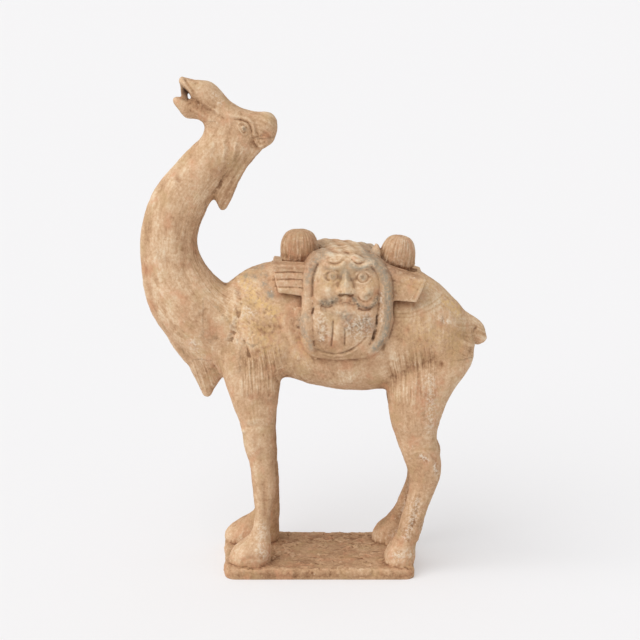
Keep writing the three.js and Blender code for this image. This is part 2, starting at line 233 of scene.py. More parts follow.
def panel(x, z, out, side, inner):
    # A grid of points x, z that stands `out` from the middle plane, with walls from its rim back to `inner` and a
    # back that closes on their middle. Rows run upwards and columns towards the tail.
    rows, columns = x.shape
    front = np.stack([x, side * out, z], 2).reshape(-1, 3)
    at = np.arange(rows * columns).reshape(rows, columns)
    quads = np.stack([at[:-1, :-1], at[:-1, 1:], at[1:, 1:], at[1:, :-1]], 2).reshape(-1, 4)
    rim = np.concatenate([at[0, :-1], at[:-1, -1], at[-1, :0:-1], at[:0:-1, 0]])
    count = len(rim)
    back = front[rim].copy()
    back[:, 1] = side * inner
    ring = len(front) + np.arange(count)
    after = np.roll(ring, -1)
    walls = np.stack([rim, ring, after, np.roll(rim, -1)], 1)
    middle = len(front) + count
    caps = np.stack([after, ring, np.full(count, middle)], 1)
    points = np.concatenate([front, back, back.mean(0, keepdims=True)])
    faces, fans = np.concatenate([quads, walls]), caps
    if side > 0:
        faces, fans = faces[:, ::-1], fans[:, ::-1]
    return points, faces, fans


def bothSides(make):
    return [make(-1), make(1)]


# ---- the camel's own stations, in millimetres
body = {
    "torso": [(-114, 254, -124, 220, 17), (-99, 282, -109, 203, 29), (-84, 297, -90, 193, 36.5),
              (-64, 308, -67, 190, 42), (-38, 313, -36, 196, 45), (-5, 313, -5, 188, 46.5), (28, 313, 28, 183, 47),
              (62, 312, 60, 184, 46), (92, 306, 88, 190, 44), (115, 292, 113, 197, 40), (134, 274, 134, 207, 32),
              (149, 257, 146, 217, 20)],
    "neck": [(-122, 206, -60, 262, 33), (-145, 230, -80, 281, 33.5), (-159, 252, -96, 291, 31),
             (-168, 277, -109, 303, 27.5), (-173, 301, -118, 317, 25), (-174, 326, -120.8, 331, 23.5),
             (-171, 350, -117.5, 349, 22.5), (-163.5, 375, -110, 368, 22), (-152, 393, -100, 384, 21.5),
             (-137, 410, -88, 398, 21), (-120, 430, -72, 413, 20), (-112.8, 445, -55, 428, 18),
             (-104, 459, -53, 447, 15)],
    "keel": [(-121, 431.5, -110, 423, 5), (-139, 413, -127, 403, 7), (-155.5, 395.5, -143, 387, 8),
             (-167.5, 375.5, -153, 369, 8.5), (-175.5, 350, -160, 348, 9), (-178.8, 326, -162, 326, 9.5),
             (-177.8, 300, -160, 304, 10), (-173, 275, -155, 282, 10.5), (-164.5, 252, -146, 262, 11),
             (-150, 229, -132, 240, 11), (-136, 209, -118, 218, 10)],
    "tuft": [(-138, 224, -84, 224, 25), (-131.5, 204, -92, 204, 17), (-124.5, 189.5, -101, 189.5, 11.5),
             (-119, 179, -108.5, 179, 7)],
    "skull": [(-44.5, 456, -51.5, 426, 14), (-59, 460, -65, 426, 17.5), (-76, 464, -82, 432, 18),
              (-89, 471.7, -98, 444, 15.5), (-97.8, 482.5, -109, 457, 13.5), (-106, 489.5, -118, 467, 13.5),
              (-116, 491.2, -125, 475, 12.5), (-125, 492, -130.5, 481.5, 11), (-134.5, 494.5, -136, 487, 8.5)],
    "jaw": [(-92, 462, -94, 432, 16), (-106, 466, -110, 446.5, 13.5), (-118, 470, -119.5, 453, 12),
            (-127, 471.5, -130, 454.3, 11.5), (-134, 474.5, -136.8, 462, 10.5), (-140.5, 475, -142, 468.5, 8.5)],
    "tongue": [(-135.5, 468, -127, 467, 3.5), (-135, 479, -128.5, 477, 3), (-136, 488, -131, 487, 3)],
    "poll": [(-68, 452, -68, 444, 11), (-62, 459.5, -63, 434.5, 15.5), (-54.7, 461, -54.7, 433.5, 16.5),
             (-47, 459, -48, 434.5, 14.5), (-42, 453, -42.5, 440, 9)],
    "mane": [(-90, 442, -47, 432, 14.5), (-98, 424, -59, 419.5, 15), (-104, 404, -71, 405, 13.5),
             (-106, 388, -79.5, 391, 11.5), (-104, 376.5, -86, 377.5, 8.5), (-100, 367.5, -91, 367.5, 5)],
    "tail": [(128, 266, 132, 244, 12), (151, 259, 144, 238, 10), (164, 249, 149, 233, 8.5),
             (168.5, 237, 155, 228, 7.5)],
}
legs = {
    "spread": 33,  # from the middle plane to the middle of a foot
    "sole": 10,    # the feet are sunk 1 mm into the slab
    "front": [(-106, 243, -42, 237, 20, 0.5), (-101, 213, -38.5, 206, 21.5, 0.68), (-92.5, 189, -39.5, 188, 19.5, 0.8),
              (-86, 172, -42, 172, 16.8, 0.88), (-79, 153, -44.8, 153, 14.8, 0.92),
              (-75.8, 131, -45.2, 131, 13.8, 0.94), (-70.2, 110, -44.8, 110, 12.5, 0.96)],
    "frontNear": [(-68.5, 90, -44, 90, 11.5, 0.97), (-66.3, 72, -46.5, 72, 10.5, 0.98), (-66, 56, -49.5, 56, 10, 1),
                  (-71, 38, -49.5, 38, 12, 1)],
    "frontFar": [(-67.5, 90, -43.7, 90, 11.5, 0.97), (-64.5, 72, -43, 72, 10.5, 0.98),
                 (-64.5, 56, -42.3, 56, 10.5, 1), (-73, 38, -42, 37, 12.5, 1)],
    "hind": [(86, 244, 155, 232, 18, 0.45), (73, 214, 150, 212, 21.5, 0.62), (67, 191, 135, 191, 20.5, 0.77),
             (67.5, 172, 124.8, 172, 18, 0.86), (71.2, 152, 118.3, 153, 15.5, 0.9), (75.3, 138, 117, 139, 13.8, 0.9)],
    "hindNear": [(81, 124, 119.5, 125, 13, 0.92), (86.5, 109, 122, 110, 12.8, 0.93), (90, 93, 119.5, 95, 11.8, 0.94),
                 (87, 76, 113, 79, 11, 0.96), (82, 60, 107, 62, 10.8, 0.98), (76.5, 43, 103.5, 46, 11.5, 1),
                 (71.5, 33, 101, 35, 13, 1)],
    "hindFar": [(78.5, 124, 118.5, 125, 13, 0.92), (83, 109, 125.5, 110, 12.8, 0.93),
                (90.2, 92, 121, 94, 11.8, 0.94), (90, 77, 113.5, 79, 11, 0.96), (84, 61, 107, 63, 10.8, 0.98),
                (77, 46, 100, 48, 11.5, 1), (68, 34, 93, 36, 13, 1)],
    "feet": {  # side, toe, heel, front of the pastern, half width
        "frontNear": (-1, -92, -49, -72, 19), "frontFar": (1, -101, -43, -76, 19),
        "hindNear": (-1, 64.5, 97, 76, 18), "hindFar": (1, 54, 88, 74, 18),
    },
}


def leg(kind, side):
    rows = legs[kind] + legs[kind + ("Near" if side < 0 else "Far")]
    placed = [(*row[:5], side * legs["spread"] * row[5]) for row in rows]
    return limb(placed, rings=90, sides=56, dome=(10 if kind == "front" else 8, 4))


def foot(side, toe, heel, ankle, wide):
    # a broad pad that slopes up from its toe to the pastern
    y, sole = side * legs["spread"], legs["sole"]
    slope = lambda share: toe + (ankle - toe) * share
    return limb([
        (slope(0.03), sole, heel - 1, sole, wide * 0.97, y), (toe, sole + 6, heel, sole + 6, wide, y),
        (slope(0.2), sole + 14, heel, sole + 14, wide * 0.94, y),
        (slope(0.55), sole + 21, heel, sole + 21, wide * 0.82, y),
        (slope(1), sole + 28, heel, sole + 29, wide * 0.66, y),
    ], rings=24, sides=56, dome=(0.8, 3))


def softForms():
    return [
        limb(body["torso"], rings=110, sides=96, dome=(8, 6), egg=0.12),
        limb(body["neck"], rings=110, sides=80, dome=(10, 3)),
        limb(body["keel"], rings=100, sides=32, dome=(4, 5)),
        limb(body["tuft"], dome=(4, 5.5)),
        limb(body["skull"], dome=(6, 2.5)),
        limb(body["jaw"], dome=(4, 2)),
        limb(body["poll"], dome=(2, 1.2), square=2.0),
        limb(body["mane"], dome=(4, 4.5)),
        limb(body["tail"], dome=(4, 4)),
        *[leg(kind, side) for kind in ("front", "hind") for side in (-1, 1)],
        *[foot(*legs["feet"][name]) for name in legs["feet"]],
    ]


# ---- meshes


def meshFrom(name, forms):
    # puts the points and faces of all the forms into one mesh
    starts = np.concatenate([[0], np.cumsum([len(points) for points, _, _ in forms])])
    points = np.concatenate([points for points, _, _ in forms])
    quads = np.concatenate([q + s for (_, q, _), s in zip(forms, starts)])
    fans = np.concatenate([f + s for (_, _, f), s in zip(forms, starts)])
    mesh = bpy.data.meshes.new(name)
    mesh.vertices.add(len(points))
    mesh.vertices.foreach_set("co", points.astype(np.float32).ravel())
    mesh.loops.add(quads.size + fans.size)
    mesh.loops.foreach_set("vertex_index", np.concatenate([quads.ravel(), fans.ravel()]).astype(np.int32))
    mesh.polygons.add(len(quads) + len(fans))
    begins = np.concatenate([np.arange(len(quads)) * 4, quads.size + np.arange(len(fans)) * 3])
    mesh.polygons.foreach_set("loop_start", begins.astype(np.int32))
    mesh.update(calc_edges=True)
    return mesh


def withModifier(mesh, kind, **settings):
    # the mesh after one modifier, as a new mesh
    obj = bpy.data.objects.new("working", mesh)
    scene.collection.objects.link(obj)
    modifier = obj.modifiers.new("working", kind)
    for key, value in settings.items():
        setattr(modifier, key, value)
    graph = bpy.context.evaluated_depsgraph_get()
    made = bpy.data.meshes.new_from_object(obj.evaluated_get(graph))
    bpy.data.objects.remove(obj)
    bpy.data.meshes.remove(mesh)
    return made


def pointsOf(mesh):
    flat = np.empty(len(mesh.vertices) * 3, np.float32)
    mesh.vertices.foreach_get("co", flat)
    return flat.reshape(-1, 3).astype(float)


def normalsOf(mesh):
    flat = np.empty(len(mesh.vertices) * 3, np.float32)
    mesh.vertex_normals.foreach_get("vector", flat)
    return flat.reshape(-1, 3).astype(float)


def edgesOf(mesh):
    flat = np.empty(len(mesh.edges) * 2, np.int32)
    mesh.edges.foreach_get("vertices", flat)
    return flat.reshape(-1, 2)


def setPoints(mesh, points):
    mesh.vertices.foreach_set("co", points.astype(np.float32).ravel())
    mesh.update()


def facesOf(mesh):
    # the mesh as a form: points, quads and triangles
    sizes = np.empty(len(mesh.polygons), np.int32)
    mesh.polygons.foreach_get("loop_total", sizes)
    corners = np.empty(len(mesh.loops), np.int32)
    mesh.loops.foreach_get("vertex_index", corners)
    starts = np.concatenate([[0], np.cumsum(sizes)[:-1]])
    quads = corners[starts[sizes == 4][:, None] + np.arange(4)]
    fans = corners[starts[sizes == 3][:, None] + np.arange(3)]
    return pointsOf(mesh), quads.reshape(-1, 4), fans.reshape(-1, 3)


def around(values, edges, count):
    # the mean of each point's neighbours
    a, b = edges.T
    share = np.maximum(np.bincount(a, minlength=count) + np.bincount(b, minlength=count), 1)
    columns = values.reshape(count, -1).T
    sums = [np.bincount(a, v[b], count) + np.bincount(b, v[a], count) for v in columns]
    return (np.stack(sums, 1) / share[:, None]).reshape(values.shape)


def relax(points, edges, share, times):
    # each point goes its share of the way to the mean of its neighbours, again and again
    for _ in range(times):
        points = points + share[:, None] * (around(points, edges, len(points)) - points)
    return points


# ---- the soft forms run into each other, as wet clay does
melt = {
    "voxel": 2.0,
    "times": 26,
    "joints": [  # x, distance from the middle plane, z, radius, share
        (-92, 22, 258, 34, 0.6), (-62, 30, 205, 34, 0.7), (-72, 30, 235, 34, 0.7), (108, 30, 225, 42, 0.7),
        (88, 30, 196, 34, 0.7), (-104, 18, 222, 26, 0.6), (-84, 14, 440, 17, 0.7), (-98, 10, 452, 17, 0.7),
        (142, 0, 250, 20, 0.7), (-64, 33, 37, 17, 0.8), (86, 33, 37, 16, 0.8), (-110, 0, 440, 13, 0.6),
        (-78, 10, 412, 14, 0.5), (-64, 8, 448, 14, 0.5), (-104, 10, 466, 14, 0.6),
    ],
}
soft = withModifier(meshFrom("soft", softForms()), "REMESH", mode="VOXEL", voxel_size=melt["voxel"])
points = pointsOf(soft)
share = np.full(len(points), 0.12)
for x, y, z, radius, amount in melt["joints"]:
    gap = np.sqrt((points[:, 0] - x) ** 2 + (np.abs(points[:, 1]) - y) ** 2 + (points[:, 2] - z) ** 2)
    share = np.maximum(share, amount * fade(0.55 * radius, 1.25 * radius, gap))
setPoints(soft, relax(points, edgesOf(soft), share, melt["times"]))
print("soft forms:", len(points), "points")

# ---- humps, ears, eyes and the pack
humps = {"front": (-20.3, 314, 31, 20.4, 0), "rear": (75.5, 309, 30.5, 19, 9)}  # x, z, height, radius, lean


def hump(x, z, height, radius, lean):
    # A lathe profile: narrower at its foot, round at the shoulder and almost flat on top, leaning towards the tail.
    turn = np.linspace(0, np.pi / 2, 40)[:-1]
    r = radius * power(np.cos(turn), 0.55) * (0.91 + 0.09 * np.sin(2 * turn))
    high = height * power(np.sin(turn), 0.9)
    r, high = np.concatenate([[radius * 0.8], r]), np.concatenate([[-14], high])
    angle = np.linspace(0, 2 * np.pi, 240, endpoint=False)
    tufts = 0.6 * np.sin(angle * 19 + x) + 0.6 * np.sin(angle * 31 + 2 * np.sin(angle * 5))
    r = r[:, None] + bell(high[:, None] - 3.5, 4.5) * tufts  # ragged near its foot
    high = high[:, None] + 0.8 * bell(high[:, None], 4) * np.sin(angle * 13)
    across = 0.92 * r * np.sin(angle)
    forward = r * np.cos(angle)
    tilt = np.radians(lean)
    points = np.stack([x + forward * np.cos(tilt) + high * np.sin(tilt), across,
                       z + high * np.cos(tilt) - forward * np.sin(tilt)], 2)
    top = [x + height * np.sin(tilt), 0, z + height * np.cos(tilt)]
    foot = [x - 14 * np.sin(tilt), 0, z - 14 * np.cos(tilt)]
    return tube(points, [foot, top])


def ear(side):
    return limb([(-64, 436.5, -63, 432.5, 2.5, side * 13.4), (-59.5, 437.5, -58, 426.5, 3.6, side * 13.9),
                 (-53.5, 438, -52.5, 427.5, 3.4, side * 13.4), (-49.5, 436.5, -49.2, 431.5, 2.2, side * 12)],
                rings=24, sides=32, dome=(1.5, 1.5))


def eye(side):
    return limb([(-79, 451, -80, 448.5, 2, side * 15), (-71.5, 450.5, -76.5, 441.5, 3.6, side * 15.5),
                 (-69, 444, -71.5, 439.5, 2, side * 15.5)], rings=24, sides=32, dome=(1.5, 1.5))


bag = {
    "left": [(-8, 225), (-15, 232), (-19, 240), (-20, 250), (-19.5, 262), (-18, 275), (-17.5, 290), (-17, 305),
             (-14.5, 316), (-10, 322), (-3, 327)],
    "right": [(50, 225), (58, 232), (64.5, 240), (68, 250), (71, 262), (71, 275), (70.8, 290), (69.5, 303), (66, 312),
              (60, 318), (50, 323)],
    "face": 44, "bulge": 6.5, "inner": 6, "columns": 200, "rows": 220, "noseX": 25, "noseZ": 291,
    "straps": [  # path, half width and height of each strap, and of the groove inside it
        ([(-1, 327), (-6.5, 322), (-11.5, 313), (-13.3, 300), (-13.8, 285), (-14.3, 270), (-14.6, 256), (-11, 242),
          (-4, 231)], 4.2, 1.7),
        ([(-1, 320), (-4.5, 313), (-6.6, 304), (-7.2, 295), (-7.4, 286)], 1.3, -2.0),
        ([(-7.2, 282), (-7.2, 264), (-6.4, 248), (-3, 238)], 1.2, -0.9),
        ([(42, 326), (54, 319.5), (62.5, 311), (65.6, 298), (66, 284), (65.6, 268), (64, 254), (58.5, 242),
          (49, 233)], 4.6, 2.6),
        ([(50, 316), (55.5, 306), (57, 292), (56.6, 280)], 1.4, -1.0),
        ([(56.8, 282), (55.8, 268), (53.2, 250), (47.5, 238)], 1.4, -1.8),
        ([(61, 300), (61.4, 280), (60.4, 262), (54.5, 245)], 0.9, 1.0),
    ],
}
boards = {
    "inner": 24, "outer": 47, "edge": 1.4,
    "fore": [(-47.5, 318), (-14, 316), (-14, 286), (-40.5, 289)],  # clockwise from the top left, as the left side shows
    "aft": [(66, 314.5), (102.5, 302), (93.5, 280), (66, 282)],
    "foreSlats": 4, "aftSlats": 1,
}


def maskHeight(u, v):
    # Heights of the guardian mask, u mm towards the tail and v mm above the foot of its nose: a nose like a tent whose
    # half width falls from foot to top, and bells and domes for the sockets, eyes, cheeks and jaw. Its left half is weaker.
    out = np.abs(u)
    half = np.clip(10.4 - 0.42 * v, 1, 10.4)
    nose = 6.6 * np.clip(1 - (out / half) ** 1.25, 0, 1) * (0.3 + 0.7 * fade(3, 24, v)) * rise(-2.2, 1.5, v) * fade(20, 24.5, v)
    wings = 1.3 * bell(np.hypot(out - 7, v - 3), 3.0)
    sockets = -1.6 * bell(np.hypot((u + 12.5) * 0.7, v - 15.5), 6.5) - 2.0 * bell(np.hypot((u - 15.6) * 0.7, v - 15), 6.5)
    eyes = 2.4 * np.sqrt(np.clip(1 - ((u + 13) ** 2 + (v - 16.2) ** 2) / 18, 0, 1)) \
        + 2.6 * np.sqrt(np.clip(1 - ((u - 15.8) ** 2 + (v - 15.6) ** 2) / 18, 0, 1))
    cheeks = 3.0 * bell(np.hypot(u + 18.5, v - 3), 7.5) + 4.4 * bell(np.hypot(u - 20.5, v + 1), 8.6)
    mouth = -1.4 * bell(v + 8.5, 3.2) * fade(5, 13, out)
    jaw = 3.4 * bell(np.hypot(out * 0.6, v + 32), 17)
    return nose + wings + sockets + eyes + cheeks + mouth + jaw


def bagSide(side):
    # A bulging panel between a left and a right edge: superelliptic at its rim, a parabola each way at its middle, with
    # a strap down each side and the mask between them.
    u, v = np.meshgrid(np.linspace(-1, 1, bag["columns"]), np.linspace(-1, 1, bag["rows"]))
    share = (v[:, 0] + 1) / 2
    (leftX, leftZ), (rightX, rightZ) = spline(bag["left"], share).T, spline(bag["right"], share).T
    across = (u + 1) / 2
    x = leftX[:, None] * (1 - across) + rightX[:, None] * across
    z = leftZ[:, None] * (1 - across) + rightZ[:, None] * across + (1 - u**2) * np.where(v > 0, 2.5, 3) * v**3
    rounded = 6 * np.sqrt((1 - u**8) * (1 - v**8)) + bag["bulge"] * (1 - u**2) * (1 - v**2)
    mask = maskHeight(x - bag["noseX"], z - bag["noseZ"]) * rise(-8, -2, x) * fade(50, 56, x) * fade(0.86, 0.97, np.abs(v))
    out = bag["face"] + rounded + mask * (1 if side < 0 else 0.8)
    for path, width, height in bag["straps"]:
        out += stroke(x.ravel(), z.ravel(), path, width, height, 0.06).reshape(x.shape) * (1 - v**8)
    return panel(x, z, out, side, bag["inner"])


def boardEnds(side, corners, slats, drop):
    # Slats laid side by side: a grid between four corners, each slat a little rounded and its end a little uneven.
    u, v = np.meshgrid(np.linspace(0, 1, 90), np.linspace(0, 1, 90))
    a, b, c, d = (np.array(corner, float) for corner in corners)
    place = ((1 - v) * u)[..., None] * c + (v * u)[..., None] * b + (v * (1 - u))[..., None] * a \
        + ((1 - v) * (1 - u))[..., None] * d
    across = (v * slats) % 1
    cushion = 1.1 * (1 - np.abs(2 * across - 1) ** 6) if slats > 1 else 0.9
    rim = np.minimum(np.minimum(u, 1 - u), np.minimum(v, 1 - v))
    out = boards["outer"] - 1.2 + cushion - 1.2 * fade(0, 0.05, rim)
    return panel(place[..., 0], place[..., 1] - drop, out, side, boards["inner"])


def packForms():
    cloth = limb([(-14, 317, -14, 282, 44), (-3, 322, -3, 282, 46), (9, 328, 9, 282, 46.5), (26, 329.5, 26, 282, 46.5),
                  (42, 326.5, 42, 282, 46.5), (54, 320, 54, 282, 46), (66, 314, 66, 282, 44)],
                 rings=90, sides=96, dome=(4, 4), square=3.2)
    lobe = limb([(49, 308, 62, 308, 9, -6), (49.5, 322, 61, 323, 8, -6), (54, 329.5, 58, 330, 4, -6)],
                rings=24, sides=32, dome=(1, 1.5))
    return [cloth, lobe, *bothSides(bagSide),
            boardEnds(-1, boards["fore"], boards["foreSlats"], 0), boardEnds(1, boards["fore"], boards["foreSlats"], 7.5),
            boardEnds(-1, boards["aft"], boards["aftSlats"], 0), boardEnds(1, boards["aft"], boards["aftSlats"], 3)]


base = {"length": 190, "depth": 114, "height": 11, "corner": 9, "skew": 6, "chip": 10}


def baseSlab():
    # A flat slab: rings of one outline stacked from the underside to the top, the last ones drawn in to round its edge.
    x, y = base["length"] / 2, base["depth"] / 2
    chip, skew, corner = base["chip"], base["skew"], base["corner"]
    knots = np.array([
        (-x - 0.5, -y + chip), (-x + 1.6, -y + chip * 0.45), (-x + chip * 0.7, -y + 0.4), (-x + chip * 1.6, -y), (0, -y),
        (x - chip * 1.5, -y), (x - chip * 0.55, -y + 1), (x - 0.8, -y + chip * 0.6), (x, -y + chip * 1.3), (x, 0),
        (x, y - corner), (x - corner * 0.3, y - corner * 0.3), (x - corner, y), (0, y), (-x - skew + corner, y),
        (-x - skew + corner * 0.3, y - corner * 0.3), (-x - skew, y - corner), (-x - skew / 2, 0), (-x - 0.5, -y + chip)])
    lengths = np.concatenate([[0], np.cumsum(np.hypot(*np.diff(knots, axis=0).T))])
    at = np.linspace(0, lengths[-1], 400, endpoint=False)
    edge = np.stack([np.interp(at, lengths, knots[:, k]) for k in (0, 1)], 1)
    levels = np.array([(0, 1.0), (1.0, 0.2), (4, 0), (7, 0.1), (8.8, 0.6), (10.2, 1.6), (10.8, 2.8), (11, 4.4), (11, 12),
                       (11, 30)])
    inward = edge / np.linalg.norm(edge, axis=1, keepdims=True)
    rings = np.stack([np.concatenate([edge - inward * pull, np.full((len(edge), 1), high)], 1)
                      for high, pull in levels])
    return tube(rings, [[0, 0, 0], [0, 0, base["height"]]])


detail = {"voxel": 0.85, "settle": 2, "triangles": 192000, "soleRelax": 14}
forms = [facesOf(soft), limb(body["tongue"], rings=24, sides=32, dome=(2, 2)), *bothSides(ear), *bothSides(eye),
         *[hump(*humps[name]) for name in humps], *packForms(), baseSlab()]
bpy.data.meshes.remove(soft)
whole = withModifier(meshFrom("whole", forms), "REMESH", mode="VOXEL", voxel_size=detail["voxel"])
points, edges = pointsOf(whole), edgesOf(whole)
points = relax(points, edges, np.full(len(points), 0.5), detail["settle"])
footing = bell(points[:, 2] - 12.5, 5) * (np.abs(points[:, 1]) < 54) * 0.7  # the feet run into the slab
setPoints(whole, relax(points, edges, footing, detail["soleRelax"]))
print("joined forms:", len(points), "points")

